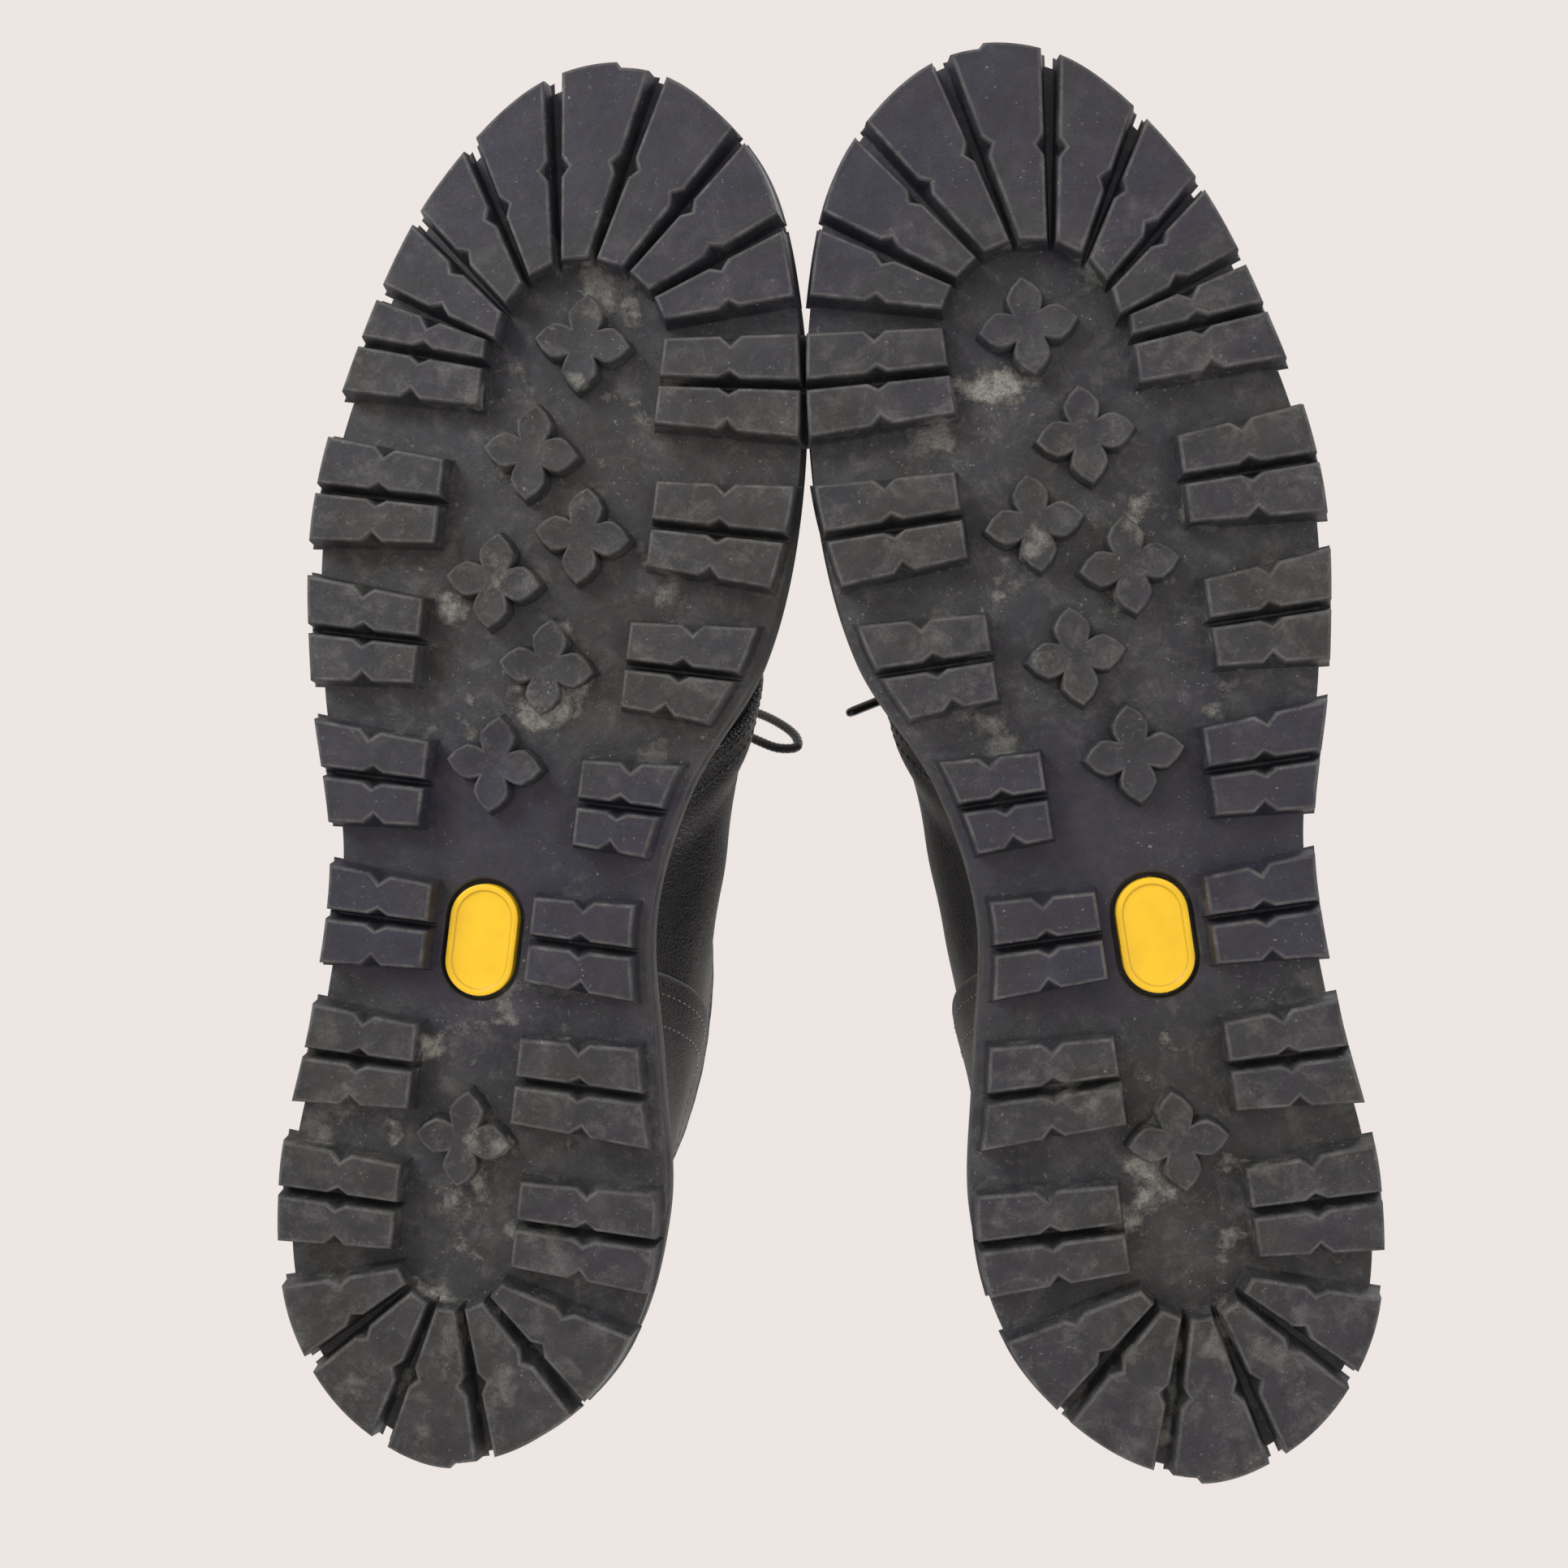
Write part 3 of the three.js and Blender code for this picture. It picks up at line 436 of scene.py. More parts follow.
# Middle x and y, radius, reach, lugs, first angle and step inside, the same outside, wide grooves
FANS = [
    (1, 247, 19, 80, 7, -4, 23.7, 13, 21.8, (7,), 1.6),
    (5.5, 47, 12.5, 62, 5, 197, 29.2, 192, 30.8, (0, 5), 1.8),
]
FAN_GROOVE_INNER = 0.8
FAN_GROOVE_OUTER = 2.4
STUDS = [(1, 248), (9.5, 223), (-4, 206), (14.5, 194), (0.5, 176.5), (9.5, 154), (6.5, 71.5)]
PETAL = [(3.3, 3.3), (3.9, 4.9), (4.0, 6.6), (2.5, 8.9), (0, 10.9), (-2.5, 8.9), (-4.0, 6.6), (-3.9, 4.9)]
INSERT_MIDDLE = np.array([8.5, 115])
INSERT_LENGTH = 26.5
INSERT_WIDTH = 17
SEAT_TOP = 8.4


def smoothstep(value, low, high):
    share = np.clip((value - low) / (high - low), 0, 1)
    return share * share * (3 - 2 * share)


def lug_sides():
    """The two long sides of every lug, from its inner end outwards, and how deep their notches are."""
    reach = SOLE_WIDTH / 2 + 8
    for side, ends in ((1, OUTER_PAIRS), (-1, INNER_PAIRS)):
        for index, inner in enumerate(ends):
            middle = PAIR_FIRST + PAIR_PITCH * index
            tilt = 3 if index == len(ends) - 1 else 0
            for half in (-1, 1):
                near = middle + half * PAIR_GROOVE / 2
                # The foremost outer lug gives way to the toe's fan
                wide = 4.6 if side == half == 1 and tilt else LUG_INNER_LENGTH
                far_side = [
                    (side * inner, near + half * wide),
                    (side * reach, near + tilt + half * LUG_OUTER_LENGTH),
                ]
                yield [[(side * inner, near), (side * reach, near + tilt)], far_side], (1.3, NOTCH_DEPTH)
    for x, y, radius, reach, count, in_from, in_step, out_from, out_step, wide_ones, wide in FANS:
        for index in range(count):
            lug = []
            for groove, shift_way in ((index, 1), (index + 1, -1)):
                share = wide if groove in wide_ones else 1
                line = []
                for far, angle, half in (
                    (radius, in_from + in_step * groove, FAN_GROOVE_INNER),
                    (reach, out_from + out_step * groove, FAN_GROOVE_OUTER),
                ):
                    a = math.radians(angle)
                    off = shift_way * half * share
                    line.append((
                        x + far * math.cos(a) - off * math.sin(a),
                        y + far * math.sin(a) + off * math.cos(a),
                    ))
                lug.append(line)
            yield lug, (1.5, 1.5)


def crossing(start, end, loop):
    """Where a line first leaves a closed loop: the loop's segment and the point."""
    after = np.roll(loop, -1, 0)
    way, along = end - start, after - loop
    cross = way[0] * along[:, 1] - way[1] * along[:, 0]
    gap = loop - start
    safe = np.where(np.abs(cross) < 1e-9, 1, cross)
    t = (gap[:, 0] * along[:, 1] - gap[:, 1] * along[:, 0]) / safe
    u = (gap[:, 0] * way[1] - gap[:, 1] * way[0]) / safe
    good = (np.abs(cross) > 1e-9) & (t > 0) & (t <= 1) & (u >= 0) & (u < 1)
    hit = np.where(good)[0][np.argmin(t[good])]
    return hit, start + way * t[hit]


def moved_out(loop, distance):
    """A closed polygon, turning left, moved outwards with mitred corners."""
    before, after = np.roll(loop, 1, 0), np.roll(loop, -1, 0)
    first, second = unit(loop - before), unit(after - loop)
    normal_1 = np.column_stack([first[:, 1], -first[:, 0]])
    normal_2 = np.column_stack([second[:, 1], -second[:, 0]])
    middle = unit(normal_1 + normal_2)
    stretch = np.maximum((middle * normal_1).sum(1), 0.55)
    return loop + middle * (distance / stretch)[:, None]


def turning_left(loop):
    area = np.sum(loop[:, 0] * np.roll(loop[:, 1], -1) - np.roll(loop[:, 0], -1) * loop[:, 1])
    return loop if area > 0 else loop[::-1]


class Mould:
    """Gathers the solids of one moulded piece, with each point's share of wear and painted light."""

    def __init__(self):
        self.points, self.faces, self.wear_and_painted_light = [], [], []

    def stack(self, rings, cap=True, base=True):
        """Joins closed rings, (outline, z, share of wear and painted light) each, and closes the ends."""
        first = len(self.points)
        count = len(rings[0][0])
        for loop, height, wear_and_light_share in rings:
            for (x, y), z in zip(loop, np.broadcast_to(height, count)):
                self.points.append((x, y, z))
                self.wear_and_painted_light.append(wear_and_light_share)
        for level in range(len(rings) - 1):
            low = first + level * count
            for k in range(count):
                after = (k + 1) % count
                self.faces.append((low + k, low + after, low + count + after, low + count + k))
        if base:
            self.faces.append(tuple(range(first, first + count))[::-1])
        if cap:
            self.faces.append(tuple(range(first + (len(rings) - 1) * count, len(self.points))))
        return first

    def fill(self, loops):
        """A flat face between an outer loop and holes, each a range of point numbers."""
        work = bmesh.new()
        edges = []
        for loop in loops:
            verts = [work.verts.new(self.points[i]) for i in loop]
            for vert, number in zip(verts, loop):
                vert.index = number
            edges += [work.edges.new((a, b)) for a, b in zip(verts, verts[1:] + verts[:1])]
        numbers = {vert: vert.index for vert in work.verts}
        made = bmesh.ops.triangle_fill(work, use_beauty=True, edges=edges)["geom"]
        self.faces += [tuple(numbers[v] for v in f.verts) for f in made if isinstance(f, bmesh.types.BMFace)]
        work.free()


x_at, y_at = sole_curve.T
waist = smoothstep(y_at, 45, 90) * (1 - smoothstep(y_at, 185, 225))
tread_edge = inset_outline(np.where(x_at > 0, WEB_INSET - LUG_OVERHANG, WEB_INSET + RIM_WIDTH * waist))
# Height, outward offset and share of paler edge of the rings that round off a lug, from its root to its
# face;
# the paler edge is partly rubbed wear and partly a painted highlight
LUG_RINGS = [
    (6.4, 1.0, 0.0), (5.8, 0.55, 0.0), (5.2, 0.3, 0.0), (1.1, -0.1, 0.0), (0.45, -0.2, 0.8),
    (0.12, -0.45, 1.0), (0.0, -0.75, 0.9), (0.0, -1.1, 0.0),
]


def notched(line, other, depth):
    """A long side from its inner end to the sole's edge, with its V notch."""
    start, end = np.array(line[0]), np.array(line[1])
    hit, reach = crossing(start, end, tread_edge)
    way = (end - start) / np.linalg.norm(end - start)
    across = np.array([-way[1], way[0]])
    across = across * np.sign(across @ (np.array(other[0]) - start))
    apex = start + (reach - start) * NOTCH_PLACE
    side = [apex - way * NOTCH_HALF, apex + across * depth, apex + way * NOTCH_HALF]
    return [start, *side, reach], hit


def lug_loop(lug, depths):
    """A lug's outline: inner end, one side, the sole's edge, the other side."""
    first, hit_1 = notched(lug[0], lug[1], depths[0])
    second, hit_2 = notched(lug[1], lug[0], depths[1])
    count = len(tread_edge)
    forward = (hit_2 - hit_1) % count
    if forward <= count / 2:
        between = [(hit_1 + k) % count for k in range(1, forward + 1)]
    else:
        between = [(hit_1 - k) % count for k in range((hit_1 - hit_2) % count)]
    clear = [k for k in between if min(np.linalg.norm(tread_edge[k] - first[-1]),
                                       np.linalg.norm(tread_edge[k] - second[-1])) > CORNER_CLEAR]
    return np.array([*first, *tread_edge[clear], *second[::-1]])


outsole = Mould()
for lug, depths in lug_sides():
    top = lug_loop(lug, depths)
    root = lug_loop(lug, (0.1, 0.1))
    if turning_left(top) is not top:
        top, root = top[::-1], root[::-1]
    rings = []
    for z, offset, wear_and_light_share in LUG_RINGS:
        share = smoothstep(z, 0.3, 4.2)
        rings.append((moved_out(top * (1 - share) + root * share, offset), z, wear_and_light_share))
    outsole.stack(rings)

for x, y in STUDS:
    petals = []
    for petal in range(4):
        a = petal * math.pi / 2
        petals += [(x + px * math.cos(a) - py * math.sin(a), y + px * math.sin(a) + py * math.cos(a))
                   for px, py in PETAL]
    petals = turning_left(np.array(petals))
    # The third value of each ring is its share of paler edge: rubbed wear and a painted highlight
    profile = ((6.4, 0.6, 0), (5.6, 0.3, 0), (2.4, -0.05, 0.1), (1.8, -0.25, 0.8), (1.5, -0.6, 0.9),
               (1.55, -0.9, 0.1), (1.7, -1.2, 0))
    outsole.stack([(moved_out(petals, offset), z, wear_and_light_share) for z, offset, wear_and_light_share in profile])


def stadium(length, width, grow=0.0, arc=20):
    """A slot's outline round the insert's middle, grown outwards."""
    radius = width / 2 + grow
    reach = (length - width) / 2
    angles = np.linspace(0, math.pi, arc)
    ends = [(radius * np.cos(a + turn_by), lift + radius * np.sin(a + turn_by))
            for turn_by, lift in ((0, reach), (math.pi, -reach)) for a in angles]
    return np.array(ends) + INSERT_MIDDLE


# The third value of each ring is its share of paler edge: rubbed wear and a painted highlight
web_rings = [(inset_outline(WEB_INSET + grow, 2), z, wear_and_light_share) for z, grow, wear_and_light_share in (
    (10.95, 0.35, 0), (10.6, 0, 0), (6.5, 0, 0), (6.15, 0.12, 0.35), (6.0, 0.45, 0.1))]
web_first = outsole.stack(web_rings, cap=False)
count = len(web_rings[0][0])
seat_rings = [(stadium(INSERT_LENGTH, INSERT_WIDTH, grow)[::-1], z, wear_and_light_share) for z, grow, wear_and_light_share in (
    (6.0, 0.75, 0), (6.25, 0.45, 0.3), (6.9, 0.25, 0), (SEAT_TOP, 0.2, 0))]
seat_first = outsole.stack(seat_rings, base=False)
outsole.fill([
    range(web_first + 4 * count, web_first + 5 * count),
    range(seat_first, seat_first + len(seat_rings[0][0])),
])

# Vulcanised rubber filled with carbon black: charcoal, violet where it is clean, grey where dust
# has been trodden in, paler on the edges (rubbed wear and a painted highlight), matt all over.
rubber, tree, shader = new_material("vulcanised_rubber", Roughness=0.72, IOR=1.52)
place = add(tree, "ShaderNodeTexCoord").outputs["Object"]
own = add(tree, "ShaderNodeSeparateXYZ", {0: add(tree, "ShaderNodeUVMap", uv_map="sole").outputs[0]})
depth = add(tree, "ShaderNodeSeparateXYZ", {0: place}).outputs["Z"]
wear_and_light_share = add(tree, "ShaderNodeAttribute", attribute_name="wear_and_painted_light").outputs["Fac"]
drift = add(tree, "ShaderNodeTexNoise", {
    "Vector": place, "Scale": 1 / 0.03, "Detail": 3, "Roughness": 0.55,
})
clean = add(tree, "ShaderNodeMapRange", {
    "Value": drift.outputs["Fac"], "From Min": 0.43, "From Max": 0.58,
})
# The waist never meets the ground, so it keeps its clean colour
heel_side = add(tree, "ShaderNodeMapRange", {
    "Value": own.outputs["Y"], "From Min": 0.27, "From Max": 0.36,
}, interpolation_type="SMOOTHSTEP")
ball_side = add(tree, "ShaderNodeMapRange", {
    "Value": own.outputs["Y"], "From Min": 0.56, "From Max": 0.46,
}, interpolation_type="SMOOTHSTEP")
waist_mask = add(tree, "ShaderNodeMath", {
    0: heel_side.outputs[0], 1: ball_side.outputs[0],
}, operation="MULTIPLY")
toe_mask = add(tree, "ShaderNodeMapRange", {
    "Value": own.outputs["Y"], "From Min": 0.74, "From Max": 0.92,
})
kept_clean = add(tree, "ShaderNodeMath", {
    0: waist_mask.outputs[0], 1: toe_mask.outputs[0],
}, operation="MAXIMUM")
clean_here = add(tree, "ShaderNodeMath", {
    0: kept_clean.outputs[0], 1: 0.62, 2: -0.1,
}, operation="MULTIPLY_ADD")
clean_all = add(tree, "ShaderNodeMath", {0: clean.outputs[0], 1: 0.55, 2: clean_here.outputs[0]},
                operation="MULTIPLY_ADD", use_clamp=True)
body = add(tree, "ShaderNodeMix", {0: clean_all.outputs[0], 6: paint("#262626"), 7: paint("#232230")},
           data_type="RGBA")
# Grey film on what touches the ground, cloudy over a centimetre
film_noise = add(tree, "ShaderNodeTexNoise", {
    "Vector": place, "Scale": 1 / 0.011, "Detail": 6, "Roughness": 0.66,
})
film = add(tree, "ShaderNodeMapRange", {
    "Value": film_noise.outputs["Fac"], "From Min": 0.45, "From Max": 0.7, "To Max": 0.75,
})
not_kept = add(tree, "ShaderNodeMath", {
    0: 1.15, 1: kept_clean.outputs[0],
}, operation="SUBTRACT", use_clamp=True)
film_here = add(tree, "ShaderNodeMath", {
    0: film.outputs[0], 1: not_kept.outputs[0],
}, operation="MULTIPLY")
# Smudges of dry dust over all that is not kept clean, ragged over half a centimetre
smudge_noise = add(tree, "ShaderNodeTexNoise", {"Vector": place, "Scale": 1 / 0.007, "Detail": 10,
                                                "Roughness": 0.78, "Distortion": 0.4})
smudge = add(tree, "ShaderNodeMapRange", {
    "Value": smudge_noise.outputs["Fac"], "From Min": 0.5, "From Max": 0.72, "To Max": 0.7,
})
smudge_here = add(tree, "ShaderNodeMath", {
    0: smudge.outputs[0], 1: not_kept.outputs[0],
}, operation="MULTIPLY")
# Caked dust: crisp pale patches in the open middle of the tread
middle_line = add(tree, "ShaderNodeMath", {0: own.outputs["X"], 1: -0.02}, operation="ADD")
off_middle = add(tree, "ShaderNodeMath", {0: middle_line.outputs[0]}, operation="ABSOLUTE")
in_middle = add(tree, "ShaderNodeMapRange", {
    "Value": off_middle.outputs[0], "From Min": 0.13, "From Max": 0.06,
})
below_face = add(tree, "ShaderNodeMapRange", {"Value": depth, "From Min": 0.0008, "From Max": 0.004,
                                              "To Min": 0.3})
patch_place = add(tree, "ShaderNodeTexNoise", {"Vector": place, "Scale": 1 / 0.013, "Detail": 3})
patch = add(tree, "ShaderNodeMapRange", {
    "Value": patch_place.outputs["Fac"], "From Min": 0.54, "From Max": 0.68,
})
crumb = add(tree, "ShaderNodeTexNoise", {
    "Vector": place, "Scale": 1 / 0.002, "Detail": 9, "Roughness": 0.9,
})
patch_edge = add(tree, "ShaderNodeMath", {0: patch.outputs[0], 1: 0.3, 2: crumb.outputs["Fac"]},
                 operation="MULTIPLY_ADD")
caked = add(tree, "ShaderNodeMapRange", {
    "Value": patch_edge.outputs[0], "From Min": 0.6, "From Max": 0.78,
})
where = add(tree, "ShaderNodeMath", {
    0: in_middle.outputs[0], 1: below_face.outputs[0],
}, operation="MULTIPLY")
where_too = add(tree, "ShaderNodeMath", {
    0: where.outputs[0], 1: not_kept.outputs[0],
}, operation="MULTIPLY")
dust_all = add(tree, "ShaderNodeMath", {
    0: caked.outputs[0], 1: where_too.outputs[0],
}, operation="MULTIPLY")
# Paler lug and stud edges, partly rubbed wear and partly a painted highlight, broken up over a few
# millimetres
scuff = add(tree, "ShaderNodeTexNoise", {"Vector": place, "Scale": 1 / 0.004, "Detail": 5})
scuffed = add(tree, "ShaderNodeMapRange", {
    "Value": scuff.outputs["Fac"], "From Min": 0.3, "From Max": 0.62, "To Min": 0.15,
})
rubbed_and_highlit = add(tree, "ShaderNodeMath", {0: wear_and_light_share, 1: scuffed.outputs[0]}, operation="MULTIPLY")
# Pale grains of grit, half a millimetre across, in drifts
grains = add(tree, "ShaderNodeTexNoise", {
    "Vector": place, "Scale": 1 / 0.0011, "Detail": 2, "Roughness": 0.7,
})
grit_here = add(tree, "ShaderNodeTexNoise", {"Vector": place, "Scale": 1 / 0.012, "Detail": 3})
sparse = add(tree, "ShaderNodeMapRange", {
    "Value": grit_here.outputs["Fac"], "From Min": 0.42, "From Max": 0.62, "To Min": 0.05,
})
grit = add(tree, "ShaderNodeMapRange", {
    "Value": grains.outputs["Fac"], "From Min": 0.65, "From Max": 0.72,
})
grit_all = add(tree, "ShaderNodeMath", {0: grit.outputs[0], 1: sparse.outputs[0]}, operation="MULTIPLY")
# Film, smudges, caked dust, the paler edges (rubbed wear and painted highlight) and grit lie over one
# another in this order
tone = body
for share, colour in (
    (film_here, "#3a3a3a"), (smudge_here, "#5f5f5d"), (dust_all, "#85867f"), (rubbed_and_highlit, "#525251"),
    (grit_all, "#717270"),
):
    tone = add(tree, "ShaderNodeMix", {
        0: share.outputs[0], 6: tone.outputs[2], 7: paint(colour),
    }, data_type="RGBA")
# Mottling by handling and wear: over a centimetre, over three millimetres and over half of one
handled = add(tree, "ShaderNodeTexNoise", {
    "Vector": place, "Scale": 1 / 0.009, "Detail": 4, "Roughness": 0.6,
})
mottled = add(tree, "ShaderNodeTexNoise", {
    "Vector": place, "Scale": 1 / 0.003, "Detail": 6, "Roughness": 0.72,
})
fine = add(tree, "ShaderNodeTexNoise", {
    "Vector": place, "Scale": 1 / 0.0006, "Detail": 3, "Roughness": 0.7,
})
two = add(tree, "ShaderNodeMath", {
    0: handled.outputs["Fac"], 1: mottled.outputs["Fac"],
}, operation="ADD")
three = add(tree, "ShaderNodeMath", {0: two.outputs[0], 1: fine.outputs["Fac"]}, operation="ADD")
shade = add(tree, "ShaderNodeMapRange", {"Value": three.outputs[0], "From Min": 1.2, "From Max": 1.8,
                                         "To Min": 0.6, "To Max": 1.4})
shade_colour = add(tree, "ShaderNodeCombineColor", {k: shade.outputs[0] for k in range(3)})
final = add(tree, "ShaderNodeMix", {0: 1.0, 6: tone.outputs[2], 7: shade_colour.outputs[0]},
            data_type="RGBA", blend_type="MULTIPLY")
tree.links.new(final.outputs[2], shader.inputs["Base Color"])
matt = add(tree, "ShaderNodeMapRange", {"Value": dust_all.outputs[0], "To Min": 0.66, "To Max": 0.95})
tree.links.new(matt.outputs[0], shader.inputs["Roughness"])
pores = add(tree, "ShaderNodeBump", {
    "Height": fine.outputs["Fac"], "Strength": 0.5, "Distance": 0.00015,
})
scored = add(tree, "ShaderNodeBump", {
    "Height": mottled.outputs["Fac"], "Strength": 0.6, "Distance": 0.0005,
    "Normal": pores.outputs["Normal"],
})
crumbs = add(tree, "ShaderNodeBump", {
    "Height": dust_all.outputs[0], "Strength": 0.6, "Distance": 0.0004,
    "Normal": scored.outputs["Normal"],
})
tree.links.new(crumbs.outputs["Normal"], shader.inputs["Normal"])

both_boots("outsole", outsole.points, outsole.faces, rubber, "tread_rubber",
           values={"wear_and_painted_light": outsole.wear_and_painted_light}, smooth=30, sole_map="sole")


# Waist insert. A plug of smooth yellow rubber, moulded apart and set in the seat of the outsole,
# with a raised border and a plain sunk face.
insert = Mould()
INSERT_PROFILE = [
    (8.1, -0.8), (5.55, -0.8), (5.3, -0.9), (5.2, -1.15), (5.2, -2.0), (5.28, -2.2), (5.55, -2.4),
    (5.6, -2.6), (5.6, -4.2),
]
# The points of the groove inside the border get share 1: painted shade in the groove
insert.stack([
    (stadium(INSERT_LENGTH, INSERT_WIDTH, grow), z, 1.0 if 5.22 < z < 5.58 and grow < -2 else 0.0)
    for z, grow in INSERT_PROFILE
])

yellow_rubber, tree, shader = new_material("moulded_yellow_rubber", Roughness=0.42, IOR=1.5,
                                           Subsurface_Weight=0.08, Subsurface_Scale=0.002)
# Saturated yellow, a little dull from handling, with painted shade darkening the groove inside its border
place = add(tree, "ShaderNodeTexCoord").outputs["Object"]
groove = add(tree, "ShaderNodeAttribute", attribute_name="wear_and_painted_light").outputs["Fac"]
film = add(tree, "ShaderNodeTexNoise", {"Vector": place, "Scale": 1 / 0.006, "Detail": 5})
film_share = add(tree, "ShaderNodeMapRange", {
    "Value": film.outputs["Fac"], "From Min": 0.4, "From Max": 0.75, "To Max": 0.35,
})
worn_yellow = add(tree, "ShaderNodeMix", {
    0: film_share.outputs[0], 6: paint("#f7c81d"), 7: paint("#dfae16"),
}, data_type="RGBA")
# Darker yellow in the groove: painted shade
groove_shade_share = add(tree, "ShaderNodeMath", {0: groove, 1: 0.45}, operation="MULTIPLY")
groove_shaded = add(tree, "ShaderNodeMix", {
    0: groove_shade_share.outputs[0], 6: worn_yellow.outputs[2], 7: paint("#a8830f"),
}, data_type="RGBA")
tree.links.new(groove_shaded.outputs[2], shader.inputs["Base Color"])
ripple = add(tree, "ShaderNodeTexNoise", {"Vector": place, "Scale": 1 / 0.002, "Detail": 3})
soft = add(tree, "ShaderNodeBump", {
    "Height": ripple.outputs["Fac"], "Strength": 0.15, "Distance": 0.0002,
})
tree.links.new(soft.outputs["Normal"], shader.inputs["Normal"])
both_boots("sole_insert", insert.points, insert.faces, yellow_rubber, "insert_rubber",
           values={"wear_and_painted_light": insert.wear_and_painted_light})


# Midsole. A sheet of dark grey rubber cemented on the web; its edge is buffed to a band a little
# lighter than the tread.
midsole = Mould()
MIDSOLE_PROFILE = [
    (11.3, 0.6), (11.5, 0.15), (11.9, 0), (13.3, -0.15), (14.7, 0), (15.1, 0.15), (15.3, 0.6),
]
midsole.stack([(inset_outline(MIDSOLE_INSET + grow, 2), z, 0) for z, grow in MIDSOLE_PROFILE])

buffed_rubber, tree, shader = new_material("buffed_rubber_edge", Roughness=0.82, IOR=1.52)
# Sanded on a wheel: fine lines round the edge, a quarter of a millimetre apart
place = add(tree, "ShaderNodeTexCoord").outputs["Object"]
squeezed = add(tree, "ShaderNodeMapping", {"Vector": place, "Scale": (1, 1, 14)})
lines = add(tree, "ShaderNodeTexNoise", {
    "Vector": squeezed.outputs[0], "Scale": 1 / 0.004, "Detail": 4,
})
smear = add(tree, "ShaderNodeTexNoise", {"Vector": place, "Scale": 1 / 0.02, "Detail": 4})
share = add(tree, "ShaderNodeMath", {0: lines.outputs["Fac"], 1: smear.outputs["Fac"]}, operation="ADD")
share_out = add(tree, "ShaderNodeMapRange", {
    "Value": share.outputs[0], "From Min": 0.75, "From Max": 1.25,
})
edge_tone = add(tree, "ShaderNodeMix", {
    0: share_out.outputs[0], 6: paint("#3c3c3c"), 7: paint("#5a5a58"),
}, data_type="RGBA")
tree.links.new(edge_tone.outputs[2], shader.inputs["Base Color"])
sanded = add(tree, "ShaderNodeBump", {
    "Height": lines.outputs["Fac"], "Strength": 0.4, "Distance": 0.0003,
})
tree.links.new(sanded.outputs["Normal"], shader.inputs["Normal"])
both_boots("midsole", midsole.points, midsole.faces, buffed_rubber, "midsole_rubber")


# Welt. A strip of black leather round the whole edge, stitched down through the midsole. It ends
# just inside the upper's foot, and its outer edge is trimmed, rounded and inked.
WELT_OUTER = 0.8
WELT_INNER = 12.5
WELT_TOP = 18.3
welt_profile = [
    (15.6, WELT_OUTER + 0.4), (15.9, WELT_OUTER), (17.4, WELT_OUTER), (18.0, WELT_OUTER + 0.25),
    (WELT_TOP, WELT_OUTER + 0.8), (WELT_TOP, WELT_INNER), (15.6, WELT_INNER),
]
welt_loops = [(inset_outline(inset, 2), z, 0) for z, inset in welt_profile]
welt = Mould()
welt.stack([*welt_loops, welt_loops[0]], cap=False, base=False)


def grained_leather(name, dark, light, grain=0.0011, relief=0.00025, gloss=0.5):
    """Chrome-tanned hide: pebbled by its grain, rubbed lighter in soft patches."""
    made, tree, shader = new_material(
        name, IOR=1.48, Specular_IOR_Level=0.3, Coat_Weight=0.04, Coat_Roughness=0.3,
    )
    place = add(tree, "ShaderNodeTexCoord").outputs["Object"]
    warp = add(tree, "ShaderNodeTexNoise", {"Vector": place, "Scale": 0.4 / grain, "Detail": 2})
    warped = add(tree, "ShaderNodeVectorMath", {0: warp.outputs["Color"], 1: (grain * 0.9,) * 3},
                 operation="MULTIPLY")
    bent = add(tree, "ShaderNodeVectorMath", {0: place, 1: warped.outputs[0]}, operation="ADD")
    cells = add(tree, "ShaderNodeTexVoronoi", {"Vector": bent.outputs[0], "Scale": 1 / grain},
                feature="DISTANCE_TO_EDGE")
    pebble = add(tree, "ShaderNodeMapRange", {"Value": cells.outputs["Distance"], "From Max": 0.22})
    rub = add(tree, "ShaderNodeTexNoise", {
        "Vector": place, "Scale": 1 / 0.022, "Detail": 5, "Roughness": 0.6,
    })
    rub_share = add(tree, "ShaderNodeMapRange", {
        "Value": rub.outputs["Fac"], "From Min": 0.38, "From Max": 0.72,
    })
    tone = add(tree, "ShaderNodeMix", {0: rub_share.outputs[0], 6: paint(dark), 7: paint(light)},
               data_type="RGBA")
    crack = add(tree, "ShaderNodeMapRange", {"Value": pebble.outputs[0], "To Min": 0.72})
    crack_tone = add(tree, "ShaderNodeCombineColor", {k: crack.outputs[0] for k in range(3)})
    colour = add(tree, "ShaderNodeMix", {0: 1.0, 6: tone.outputs[2], 7: crack_tone.outputs[0]},
                 data_type="RGBA", blend_type="MULTIPLY")
    tree.links.new(colour.outputs[2], shader.inputs["Base Color"])
    polish = add(tree, "ShaderNodeMapRange", {"Value": rub.outputs["Fac"], "To Min": gloss + 0.12,
                                              "To Max": gloss - 0.1})
    tree.links.new(polish.outputs[0], shader.inputs["Roughness"])
    wrinkle = add(tree, "ShaderNodeTexNoise", {"Vector": place, "Scale": 1 / 0.004, "Detail": 4})
    slack = add(tree, "ShaderNodeBump", {
        "Height": wrinkle.outputs["Fac"], "Strength": 0.3, "Distance": 0.0006,
    })
    bump = add(tree, "ShaderNodeBump", {
        "Height": pebble.outputs[0], "Strength": 0.5, "Distance": relief,
        "Normal": slack.outputs["Normal"],
    })
    tree.links.new(bump.outputs["Normal"], shader.inputs["Normal"])
    return made


black_leather = grained_leather("oiled_black_hide", "#121212", "#1e1e1d")
both_boots("welt", welt.points, welt.faces, black_leather, "black_leather")


